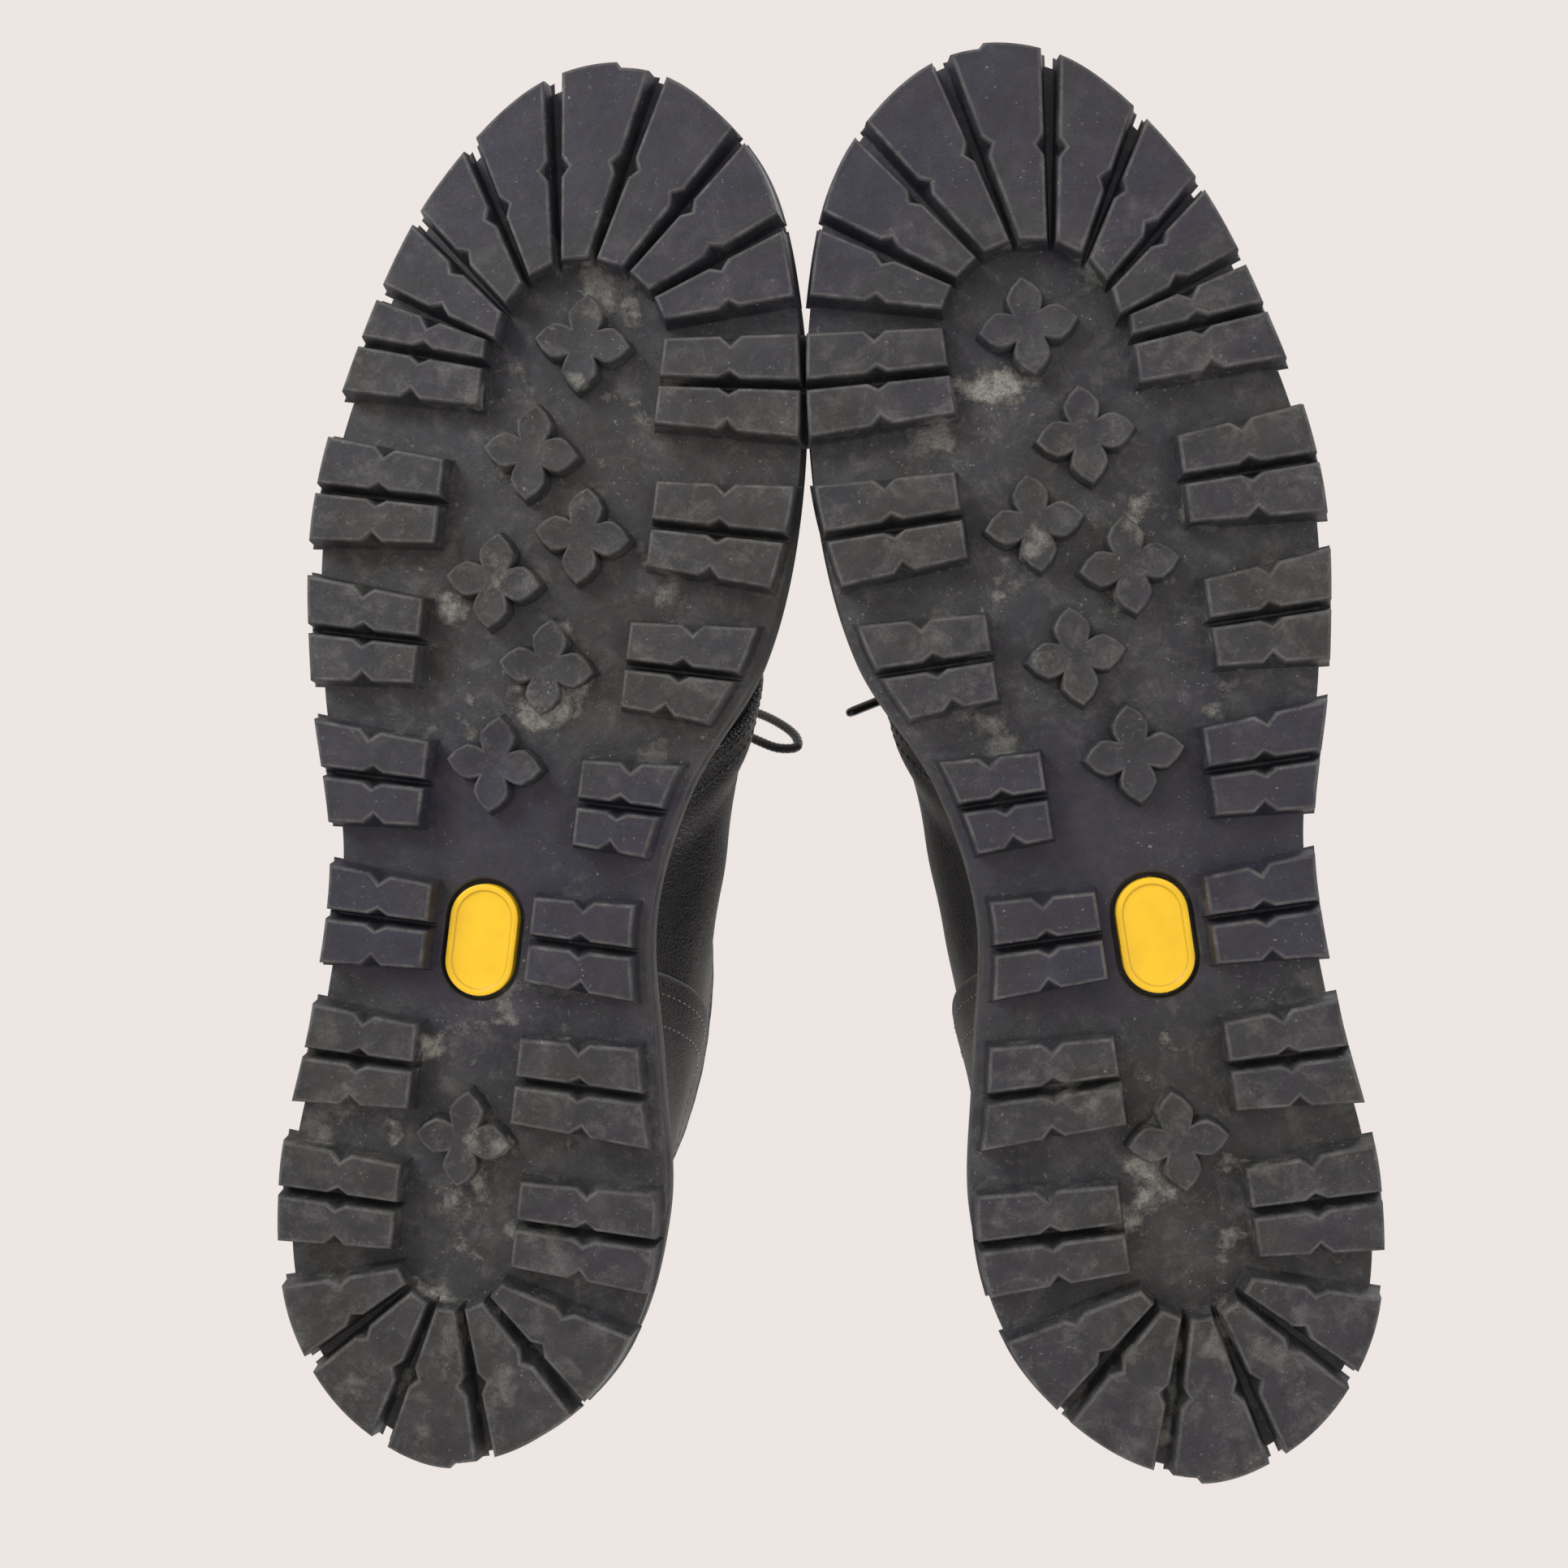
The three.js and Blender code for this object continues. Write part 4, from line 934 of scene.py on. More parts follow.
# Stitches. Heavy waxed black thread, laid in a groove: one short round stitch after another, a
# little raised in the middle, following each seam.
def stitch_tree():
    """Stitches of a length and a thickness at a pitch along the edges of a mesh."""
    made = bpy.data.node_groups.new("stitches", "GeometryNodeTree")
    made.interface.new_socket("Seam", in_out="INPUT", socket_type="NodeSocketGeometry")
    for name in ("Pitch", "Stitch Length", "Thread Width"):
        made.interface.new_socket(name, in_out="INPUT", socket_type="NodeSocketFloat")
    made.interface.new_socket("Thread", in_out="INPUT", socket_type="NodeSocketMaterial")
    made.interface.new_socket("Stitches", in_out="OUTPUT", socket_type="NodeSocketGeometry")
    given = add(made, "NodeGroupInput")
    curve = add(made, "GeometryNodeMeshToCurve", {"Mesh": given.outputs["Seam"]})
    spaced = add(made, "GeometryNodeResampleCurve", {
        "Curve": curve.outputs[0], "Length": given.outputs["Pitch"],
    }, mode="LENGTH")
    up = add(made, "GeometryNodeInputNamedAttribute", {"Name": "up"}, data_type="FLOAT_VECTOR")
    along = add(made, "GeometryNodeInputTangent")
    facing = add(made, "FunctionNodeAxesToRotation", {
        "Primary Axis": up.outputs["Attribute"], "Secondary Axis": along.outputs[0],
    }, primary_axis="Z", secondary_axis="X")
    ball = add(made, "GeometryNodeMeshUVSphere", {"Segments": 8, "Rings": 6, "Radius": 0.5})
    size = add(made, "ShaderNodeCombineXYZ", {
        "X": given.outputs["Stitch Length"], "Y": given.outputs["Thread Width"],
        "Z": given.outputs["Thread Width"],
    })
    laid = add(made, "GeometryNodeInstanceOnPoints", {
        "Points": spaced.outputs[0], "Instance": ball.outputs["Mesh"],
        "Rotation": facing.outputs[0], "Scale": size.outputs[0],
    })
    real = add(made, "GeometryNodeRealizeInstances", {0: laid.outputs[0]})
    smooth = add(made, "GeometryNodeSetShadeSmooth", {0: real.outputs[0]})
    dyed = add(made, "GeometryNodeSetMaterial", {
        "Geometry": smooth.outputs[0], "Material": given.outputs["Thread"],
    })
    result = add(made, "NodeGroupOutput")
    made.links.new(dyed.outputs[0], result.inputs[0])
    return made


def grown(name, guide, tree, **inputs):
    """Runs a node tree on a guide mesh and keeps what it makes as a plain mesh."""
    modifier = guide.modifiers.new("nodes", "NODES")
    modifier.node_group = tree
    for item in tree.interface.items_tree:
        key = item.name.replace(" ", "_")
        if item.in_out == "INPUT" and key in inputs:
            modifier[item.identifier] = inputs[key]
    bpy.context.view_layer.update()
    ready = guide.evaluated_get(bpy.context.evaluated_depsgraph_get())
    mesh = bpy.data.meshes.new_from_object(ready)
    guide.modifiers.remove(modifier)
    bpy.data.objects.remove(guide)
    made = bpy.data.objects.new(name, mesh)
    scene.collection.objects.link(made)
    return made


def guide_lines(name, rows, hand):
    """A mesh of open or closed lines, (points, ups, closed) each, with the way up at each point."""
    points, edges, ups = [], [], []
    for line, up, closed in rows:
        first = len(points)
        points += in_frame(line, hand).tolist()
        flat = np.array(up)[:, :2] @ turn.T * [hand, 1]
        ups += np.column_stack([flat, np.array(up)[:, 2]]).tolist()
        edges += [(k, k + 1) for k in range(first, len(points) - 1)]
        if closed:
            edges.append((len(points) - 1, first))
    mesh = bpy.data.meshes.new(name)
    mesh.from_pydata(points, edges, [])
    way_up = mesh.attributes.new("up", "FLOAT_VECTOR", "POINT")
    way_up.data.foreach_set("vector", np.ravel(ups).astype(np.float32))
    guide = bpy.data.objects.new(name, mesh)
    scene.collection.objects.link(guide)
    return guide


waxed_thread, tree, shader = new_material("waxed_nylon_thread", Roughness=0.5, IOR=1.5, Sheen_Weight=0.2)
# Black thread with a twist; the twist shows as fine bars, drawn at half a millimetre
place = add(tree, "ShaderNodeTexCoord").outputs["Object"]
twist = add(tree, "ShaderNodeTexNoise", {"Vector": place, "Scale": 1 / 0.0006, "Detail": 2})
strand = add(tree, "ShaderNodeMix", {0: twist.outputs["Fac"], 6: paint("#161616"), 7: paint("#3a3a39")},
             data_type="RGBA")
tree.links.new(strand.outputs[2], shader.inputs["Base Color"])
ridge = add(tree, "ShaderNodeBump", {
    "Height": twist.outputs["Fac"], "Strength": 0.4, "Distance": 0.0001,
})
tree.links.new(ridge.outputs["Normal"], shader.inputs["Normal"])

stitches = stitch_tree()


def sewn(part, rows, pitch, thread):
    """Rows of stitches on both boots; pitch and thread in millimetres."""
    for boot, hand in HANDS.items():
        guide = guide_lines(f"{boot}_{part}_guide", rows, hand)
        piece = grown(
            f"{boot}_{part}", guide, stitches, Pitch=pitch / 1000, Stitch_Length=pitch * 0.8 / 1000,
            Thread_Width=thread / 1000, Thread=waxed_thread,
        )
        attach(piece, f"{boot}_boot")


WELT_SEAM_INSET = 4.2
welt_seam = inset_outline(WELT_SEAM_INSET, 2)
welt_seam = np.column_stack([welt_seam, np.full(len(welt_seam), WELT_TOP + 0.1)])
sewn("welt_stitches", [(welt_seam, np.tile([0, 0, 1.0], (len(welt_seam), 1)), True)], 4.2, 0.9)


# The last. The upper was pulled over this foot shape: it rises from the welt (height 0) to the
# collar (height 1), and an angle runs round it from the toe by the outside to the heel. Every
# panel is a piece of its surface at some distance outside it.
COLLAR_RISE = 133
FEATHER_LINE = 18.6
LAST_INSET = 11
# Height; front y and z, back y and z; half width, roundness, taper, turn to an oval, lean
RINGS = np.array([
    (0, 0.965, 0, 0.039, 0, 0.393, 0.42, -0.12, 0, 0.028),
    (0.1, 0.961, 0.135, 0.028, 0.113, 0.385, 0.38, -0.12, 0.35, 0.028),
    (0.2, 0.929, 0.248, 0.024, 0.211, 0.358, 0.4, -0.08, 0.75, 0.028),
    (0.31, 0.858, 0.316, 0.029, 0.308, 0.328, 0.43, -0.02, 1, 0.028),
    (0.43, 0.761, 0.376, 0.037, 0.398, 0.308, 0.48, 0.03, 1, 0.03),
    (0.55, 0.674, 0.459, 0.047, 0.496, 0.294, 0.5, 0.06, 1, 0.034),
    (0.67, 0.606, 0.579, 0.055, 0.602, 0.285, 0.5, 0.08, 1, 0.04),
    (0.78, 0.552, 0.714, 0.06, 0.707, 0.28, 0.5, 0.08, 1, 0.046),
    (0.89, 0.51, 0.857, 0.058, 0.842, 0.276, 0.5, 0.05, 1, 0.052),
    (1, 0.481, 1, 0.048, 0.97, 0.272, 0.5, 0.02, 1, 0.06),
])
LINING_WALL = (0, 1.2)
LEATHER_WALL = (3, 4.8)
OVERLAY_WALL = (5.3, 6.7)
THROAT = 0.53
OPENING = 24
VAMP_FOOT = 92
FACING_BACK = 49
POCKET_FRONT = 108
POCKET_TOP = 0.452
LAP = 5
# Half the open joint between panels that meet edge to edge, in degrees round the last
SEAM_GAP = 0.35

last_edge = inset_outline(LAST_INSET)
toe_end, heel_end = last_edge[last_edge[:, 1].argmax()], last_edge[last_edge[:, 1].argmin()]
middle_x = np.interp(last_edge[:, 1], [heel_end[1], toe_end[1]], [heel_end[0], toe_end[0]])
edge_sides = {}
for side in (1, -1):
    half = last_edge[(last_edge[:, 0] - middle_x) * side >= 0]
    half = np.vstack([half, toe_end, heel_end])
    edge_sides[side] = half[half[:, 1].argsort()]


def last_point(theta, s):
    """Points of the last at an angle in degrees and a height; straight on above the collar."""
    theta, s = np.broadcast_arrays(np.asarray(theta, float), np.asarray(s, float))
    if (s > 1).any():
        top = last_point(theta, np.minimum(s, 1))
        below = last_point(theta, np.minimum(s, 0.98))
        return top + (top - below) * (np.maximum(s - 1, 0) / 0.02)[..., None]
    at = RINGS[:, 0]
    number = np.arange(len(at))
    before, after = np.maximum(number - 1, 0), np.minimum(number + 1, len(at) - 1)
    slope = (RINGS[after] - RINGS[before]) / (at[after] - at[before])[:, None]
    k = np.clip(np.searchsorted(at, s, side="right") - 1, 0, len(at) - 2)
    span = (at[k + 1] - at[k])[..., None]
    t = (s[..., None] - at[k][..., None]) / span
    a, b, leave, reach = RINGS[k], RINGS[k + 1], slope[k] * span, slope[k + 1] * span
    ring = a + t * (leave + t * (3 * (b - a) - 2 * leave - reach + t * (2 * (a - b) + leave + reach)))
    _, front_y, front_z, back_y, back_z, half, power, taper, oval, lean = np.moveaxis(ring, -1, 0)
    side = np.where(np.sin(np.radians(theta)) >= 0, 1, -1)
    q = (1 - np.cos(np.radians(theta))) / 2
    bow = np.maximum(4 * q * (1 - q), 0) ** power * (1 + taper * (2 * q - 1))
    round_x = (lean + side * half * bow) * SOLE_WIDTH
    y = toe_end[1] + (heel_end[1] - toe_end[1]) * q
    outer = np.interp(y, edge_sides[1][:, 1], edge_sides[1][:, 0])
    inner = np.interp(y, edge_sides[-1][:, 1], edge_sides[-1][:, 0])
    trodden = np.where(side > 0, outer, inner)
    return np.stack([
        trodden + (round_x - trodden) * oval,
        (front_y + (back_y - front_y) * q) * SOLE_LENGTH,
        FEATHER_LINE + (front_z + (back_z - front_z) * q) * COLLAR_RISE,
    ], -1)


def outwards(theta, s):
    """The way out of the last's surface."""
    around = last_point(np.add(theta, 2), s) - last_point(np.subtract(theta, 2), s)
    low = np.maximum(np.subtract(s, 0.02), 0)
    normal = np.cross(last_point(theta, low + 0.04) - last_point(theta, low), around)
    flat = np.broadcast_to(s, normal.shape[:-1]) < 0.01
    normal[..., 2] = np.where(flat, 0, normal[..., 2])
    return unit(normal)


def upper_point(theta, s, offset):
    return last_point(theta, s) + outwards(theta, s) * np.asarray(offset, float)[..., None]


def slack(theta, s):
    """Soft unevenness of worked leather, in millimetres."""
    x, y, z = np.moveaxis(last_point(theta, s), -1, 0)
    wave = (np.sin(x * 0.17 + z * 0.11) * np.sin(y * 0.13 - z * 0.07)
            + 0.6 * np.sin(y * 0.31 + x * 0.23 + z * 0.19))
    return 0.22 * wave * smoothstep(np.broadcast_to(s, wave.shape), 0.02, 0.2)


def grid_lines(length, step, rim):
    """Shares of a length a step apart, with closer ones where the rim curves down."""
    close = np.array([0, 0.08, 0.25, 0.55, 1]) * rim / length
    middle = np.linspace(close[-1], 1 - close[-1], max(3, round(length / step)))
    return np.r_[close[:-1], middle, 1 - close[:-1][::-1]]


def panel(edges, heights, wall, lift=None, step=2.2, rim=0.8, both=False, inner_lift=None):
    """A closed piece of the upper between two edges and two heights, with a rounded rim."""
    middle_s = (heights[0] + heights[1]) / 2
    from_theta, to_theta = edges(middle_s)
    across = last_point(np.linspace(from_theta, to_theta, 60), middle_s)
    width = np.linalg.norm(np.diff(across, axis=0), axis=1).sum()
    height = max(3, (heights[1] - heights[0]) * COLLAR_RISE)
    u, v = grid_lines(width, step, rim), grid_lines(height, step, rim)
    s = heights[0] + v * (heights[1] - heights[0])
    limits = np.array([edges(value) for value in s])
    theta = limits[:, :1] + u[None] * (limits[:, 1:] - limits[:, :1])
    s = np.repeat(s[:, None], len(u), 1)
    near = np.minimum(np.minimum(u, 1 - u)[None] * width, np.minimum(v, 1 - v)[:, None] * height)
    fall = rim - np.sqrt(np.maximum(rim ** 2 - np.maximum(rim - near, 0) ** 2, 0))
    raised = slack(theta, s) if lift is None else slack(theta, s) + lift(theta, s)
    under = raised if inner_lift is None else inner_lift(theta, s)
    skin = upper_point(theta, s, wall[1] - fall + raised)
    back = upper_point(theta, s, wall[0] + (fall if both else 0 * fall) + under)
    rows, columns = theta.shape
    points = np.vstack([skin.reshape(-1, 3), back.reshape(-1, 3)])
    number = np.arange(rows * columns).reshape(rows, columns)
    a, b = number[:-1, :-1].ravel(), number[:-1, 1:].ravel()
    c, d = number[1:, 1:].ravel(), number[1:, :-1].ravel()
    second = rows * columns
    faces = np.vstack([np.column_stack([a, b, c, d]), second + np.column_stack([d, c, b, a])]).tolist()
    border = [*number[0, :], *number[1:, -1], *number[-1, -2::-1], *number[-2:0:-1, 0]]
    for first, after in zip(border, border[1:] + border[:1]):
        faces.append((after, first, first + second, after + second))
    return points, faces


# Vamp. One piece of oiled black hide over the toe and the instep, with no toe cap. Walking has
# creased it across the ball of the foot, where the toes bend.
FLEX_CREASES = [
    (197, 0.9, 2.6, 0.10), (205.5, 1.5, 2.1, 0.05), (213, 1.7, 1.9, -0.03), (220.5, 1.6, 2.2, 0.04),
    (229, 1.1, 2.6, -0.06), (238, 0.6, 2.6, 0.02),
]


def quarter_front(s):
    """The angle where the quarter starts: up the side of the foot, then beside the opening."""
    climb = min(s / THROAT, 1)
    return OPENING + (VAMP_FOOT - OPENING) * (1 - climb ** 1.8)


def flexed(theta, s):
    x, y, _ = np.moveaxis(last_point(theta, s), -1, 0)
    on_top = smoothstep(s, 0.12, 0.3)
    sunk = 0 * x
    for middle, depth, width, slant in FLEX_CREASES:
        off = (y - middle - slant * x - 1.5 * np.sin(x * 0.11 + middle)) / width
        sunk += depth * (np.exp(-off ** 2) - 0.45 * np.exp(-(off / 2.4) ** 2))
    return -sunk * on_top


points, faces = panel(
    lambda s: (-quarter_front(s) + 0.35, quarter_front(s) - 0.35), (0, THROAT - 0.012), LEATHER_WALL,
    flexed, step=1.9,
)
both_boots("vamp", points, faces, black_leather, "black_leather")

tan_lining = grained_leather("vegetable_tanned_lining", "#45403a", "#5a534a", grain=0.0008,
                             relief=0.0001, gloss=0.68)
points, faces = panel(
    lambda s: (-quarter_front(s) + 0.35, quarter_front(s) - 0.35), (0, THROAT - 0.012), LINING_WALL,
    lambda theta, s: -slack(theta, s), step=3, rim=0.3,
)
both_boots("vamp_lining", points, faces, tan_lining, "lining_leather")


# Quarters. They lap over the vamp with two rows of stitches, climb to the collar and fall into
# soft diagonal folds at the ankle. The lining behind them is a single piece.
def lap_at(s):
    return LAP * (1 - smoothstep(np.asarray(s, float), 0.43, 0.51))


def lapped(theta, s):
    """Lies on the vamp along its front edge; folds at the ankle."""
    around = np.where(theta > 180, 360 - theta, theta)
    front = OPENING + (VAMP_FOOT - OPENING) * (1 - np.minimum(s / THROAT, 1) ** 1.8)
    over = 1.95 * (1 - smoothstep(around - front, 0.8, 7.5)) * (1 - smoothstep(s, 0.44, 0.53))
    fold = 0 * around
    for middle, depth, width, slope in ((0.56, 1.0, 0.02, 0.0011), (0.63, 1.3, 0.022, 0.0009),
                                        (0.71, 0.9, 0.024, 0.0006), (0.8, 0.5, 0.03, 0.0003)):
        off = (s - middle + slope * (around - 100)) / width
        fold -= depth * (np.exp(-off ** 2) - 0.4 * np.exp(-(off / 2.2) ** 2))
    soft = smoothstep(around, 52, 72) * (1 - smoothstep(around, 120, 165)) * smoothstep(s, 0.47, 0.52)
    return over + fold * soft * (1 - smoothstep(s, 0.88, 0.98))


points, faces = panel(
    lambda s: (quarter_front(s) + SEAM_GAP - float(lap_at(s)), 180 - SEAM_GAP),
    (0, 1), LEATHER_WALL, lapped, step=2,
)
both_boots("quarter_lateral", points, faces, black_leather, "black_leather")
points, faces = panel(
    lambda s: (180 + SEAM_GAP, 360 - quarter_front(s) - SEAM_GAP + float(lap_at(s))),
    (0, 1), LEATHER_WALL, lapped, step=2,
)
both_boots("quarter_medial", points, faces, black_leather, "black_leather")
points, faces = panel(
    lambda s: (quarter_front(s) + SEAM_GAP, 360 - SEAM_GAP - quarter_front(s)), (0, 1), LINING_WALL,
    lambda theta, s: -slack(theta, s), step=3, rim=0.3,
)
both_boots("quarter_lining", points, faces, tan_lining, "lining_leather")


# Overlays. The counter pocket round the heel, the backstay up the back seam and the eyelet
# facings are second layers of the same hide, skived and turned at their edges.
points, faces = panel(
    lambda s: (POCKET_FRONT, 360 - POCKET_FRONT), (0, POCKET_TOP), OVERLAY_WALL, step=2.4, rim=1.0,
)
both_boots("counter_pocket", points, faces, black_leather, "black_leather")
points, faces = panel(lambda s: (171, 189), (0.462, 1), OVERLAY_WALL, step=2, rim=1.0)
both_boots("backstay", points, faces, black_leather, "black_leather")
for side, edges in (("lateral", (OPENING, FACING_BACK)), ("medial", (-FACING_BACK, -OPENING))):
    points, faces = panel(lambda s: edges, (THROAT, 1), OVERLAY_WALL, step=1.8, rim=1.0)
    both_boots(f"facing_{side}", points, faces, black_leather, "black_leather")


# Collar binding. A strip of soft hide rolled over the top edge of the quarters and their lining.
BINDING_HEIGHT = 1.014
BINDING_RADIUS = 2.6
ring_angles = np.linspace(OPENING + 1, 359 - OPENING, 200)
ring_line = upper_point(ring_angles, BINDING_HEIGHT + 0 * ring_angles, np.full(200, 2.4))
points, faces = tube(ring_line, BINDING_RADIUS, 20)
ripple = 1 + 0.035 * np.sin(np.arange(200) * 0.83) * np.sin(np.arange(200) * 0.37)
points = (ring_line[:, None] + (points.reshape(200, 20, 3) - ring_line[:, None]) * ripple[:, None, None])
for end in (0, -1):
    points[end] = ring_line[end] + (points[end] - ring_line[end]) * 0.6
both_boots("collar_binding", points.reshape(-1, 3), faces, black_leather, "black_leather")


# Seams. Twin rows hold the quarters to the vamp and the counter pocket to the quarters; single
# rows edge the backstay, the facings and the binding.
def surface_row(theta, s, offset):
    """A row on the upper's surface with its way out."""
    theta, s = np.broadcast_arrays(np.asarray(theta, float), np.asarray(s, float))
    return upper_point(theta, s, offset), outwards(theta, s), False


seams = []
up_side = np.linspace(0.012, 0.5, 60)
fronts = np.array([quarter_front(s) for s in up_side]) - lap_at(up_side)
for side in (1, -1):
    for inside in (1.6, 4.2):
        theta = side * (fronts + 0.35 + inside)
        around = np.abs(theta)
        seams.append(surface_row(theta, up_side, 4.75 + lapped(around, up_side) + slack(theta, up_side)))
    for inside in (2.2, 5.4):
        rise = np.linspace(0.01, POCKET_TOP - 0.007 - inside * 0.004, 30)
        theta = np.full(30, side * (POCKET_FRONT + inside))
        seams.append(surface_row(theta, rise, 6.62 + slack(theta, rise)))
    upper_rise = np.linspace(THROAT + 0.012, 0.992, 50)
    for angle in (OPENING + 2.4, FACING_BACK - 2.2):
        theta = np.full(50, side * angle)
        seams.append(surface_row(theta, upper_rise, 6.62 + slack(theta, upper_rise)))
    stay_rise = np.linspace(0.47, 0.992, 50)
    theta = np.full(50, 180 - side * 7.4)
    seams.append(surface_row(theta, stay_rise, 6.62 + slack(theta, stay_rise)))
for inside in (2.2, 5.4):
    theta = np.linspace(POCKET_FRONT + inside, 360 - POCKET_FRONT - inside, 120)
    height = np.full(120, POCKET_TOP - 0.007 - inside * 0.004)
    seams.append(surface_row(theta, height, 6.62 + slack(theta, height)))
theta = np.r_[np.linspace(FACING_BACK + 1.5, 170, 90), np.linspace(190, 358.5 - FACING_BACK, 90)]
for part in (theta[:90], theta[90:]):
    height = np.full(90, 0.985)
    seams.append(surface_row(part, height, 4.75 + slack(part, height)))
sewn("upper_stitches", seams, 2.9, 0.5)


# Eyelets. Brass barrels rolled over a flange and enamelled black, six pairs in the facings; the
# enamel has chipped to dull brass in places.
EYELET_ANGLE = 36
EYELET_PAIRS = 6
FIRST_EYELET = 0.565
LAST_EYELET = 0.955
EYELET_HOLE = 2.3
EYELET_ROLL = 0.85

eyelet_tree = bpy.data.node_groups.new("eyelets", "GeometryNodeTree")
eyelet_tree.interface.new_socket("Places", in_out="INPUT", socket_type="NodeSocketGeometry")
for name in ("Hole Radius", "Roll Radius"):
    eyelet_tree.interface.new_socket(name, in_out="INPUT", socket_type="NodeSocketFloat")
for name in ("Metal", "Dark"):
    eyelet_tree.interface.new_socket(name, in_out="INPUT", socket_type="NodeSocketMaterial")
eyelet_tree.interface.new_socket("Eyelets", in_out="OUTPUT", socket_type="NodeSocketGeometry")
given = add(eyelet_tree, "NodeGroupInput")
middle = add(eyelet_tree, "ShaderNodeMath", {
    0: given.outputs["Hole Radius"], 1: given.outputs["Roll Radius"],
}, operation="ADD")
hoop = add(eyelet_tree, "GeometryNodeCurvePrimitiveCircle", {
    "Resolution": 32, "Radius": middle.outputs[0],
})
section = add(eyelet_tree, "GeometryNodeCurvePrimitiveCircle", {
    "Resolution": 12, "Radius": given.outputs["Roll Radius"],
})
rolled = add(eyelet_tree, "GeometryNodeCurveToMesh", {
    "Curve": hoop.outputs["Curve"], "Profile Curve": section.outputs["Curve"], "Fill Caps": True,
})
metal_ring = add(eyelet_tree, "GeometryNodeSetMaterial", {
    "Geometry": rolled.outputs[0], "Material": given.outputs["Metal"],
})
# A flat dark disc across each eyelet: painted shadow in place of the hole
hole_shadow_disc = add(eyelet_tree, "GeometryNodeMeshCylinder", {
    "Vertices": 24, "Radius": middle.outputs[0], "Depth": 0.0005,
})
painted_hole_shadow = add(eyelet_tree, "GeometryNodeSetMaterial", {
    "Geometry": hole_shadow_disc.outputs["Mesh"], "Material": given.outputs["Dark"],
})
one = add(eyelet_tree, "GeometryNodeJoinGeometry")
eyelet_tree.links.new(metal_ring.outputs[0], one.inputs[0])
eyelet_tree.links.new(painted_hole_shadow.outputs[0], one.inputs[0])
up = add(eyelet_tree, "GeometryNodeInputNamedAttribute", {"Name": "up"}, data_type="FLOAT_VECTOR")
facing = add(eyelet_tree, "FunctionNodeAlignRotationToVector", {
    "Vector": up.outputs["Attribute"],
}, axis="Z")
set_in = add(eyelet_tree, "GeometryNodeInstanceOnPoints", {
    "Points": given.outputs["Places"], "Instance": one.outputs[0], "Rotation": facing.outputs[0],
})
real = add(eyelet_tree, "GeometryNodeRealizeInstances", {0: set_in.outputs[0]})
smooth = add(eyelet_tree, "GeometryNodeSetShadeSmooth", {0: real.outputs[0]})
kept = add(eyelet_tree, "NodeGroupOutput")
eyelet_tree.links.new(smooth.outputs[0], kept.inputs[0])

enamelled_brass, tree, shader = new_material("enamelled_brass", IOR=1.5, Coat_Weight=0.3, Coat_Roughness=0.2)
# Chips a millimetre or so across show the metal
place = add(tree, "ShaderNodeTexCoord").outputs["Object"]
chips = add(tree, "ShaderNodeTexNoise", {"Vector": place, "Scale": 1 / 0.0016, "Detail": 3})
bare = add(tree, "ShaderNodeMapRange", {
    "Value": chips.outputs["Fac"], "From Min": 0.62, "From Max": 0.66,
})
metal_tone = add(tree, "ShaderNodeMix", {0: bare.outputs[0], 6: paint("#191919"), 7: paint("#7d6a45")},
                 data_type="RGBA")
tree.links.new(metal_tone.outputs[2], shader.inputs["Base Color"])
tree.links.new(bare.outputs[0], shader.inputs["Metallic"])
rough = add(tree, "ShaderNodeMapRange", {"Value": chips.outputs["Fac"], "To Min": 0.25, "To Max": 0.5})
tree.links.new(rough.outputs[0], shader.inputs["Roughness"])

hole_shadow_finish, tree, shader = new_material("shadowed_hole", Roughness=0.95)
# A near-black disc across the eyelet's middle: painted shadow standing in for the hole, which is not cut
# through the leather, with a faint fibrous variation
place = add(tree, "ShaderNodeTexCoord").outputs["Object"]
fibre = add(tree, "ShaderNodeTexNoise", {"Vector": place, "Scale": 1 / 0.0008, "Detail": 2})
hole_shadow_tone = add(tree, "ShaderNodeMix", {0: fibre.outputs["Fac"], 6: paint("#060606"), 7: paint("#121212")},
           data_type="RGBA")
tree.links.new(hole_shadow_tone.outputs[2], shader.inputs["Base Color"])

eyelet_rise = np.linspace(FIRST_EYELET, LAST_EYELET, EYELET_PAIRS)
for boot, hand in HANDS.items():
    rows = []
    for side in (1, -1):
        theta = np.full(EYELET_PAIRS, side * EYELET_ANGLE)
        rows.append(surface_row(theta, eyelet_rise, 6.75 + slack(theta, eyelet_rise)))
    guide = guide_lines(f"{boot}_eyelet_guide", rows, hand)
    piece = grown(
        f"{boot}_eyelets", guide, eyelet_tree, Hole_Radius=EYELET_HOLE / 1000,
        Roll_Radius=EYELET_ROLL / 1000, Metal=enamelled_brass, Dark=hole_shadow_finish,
    )
    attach(piece, f"{boot}_boot")


# Laced strands. Each comes up out of an eyelet, runs over the facing's edge, crosses the tongue
# over or under the other strand and slips under the other facing to its next eyelet. The last
# stretches rise to the knot.
KNOT = np.array([5, 172, 147])


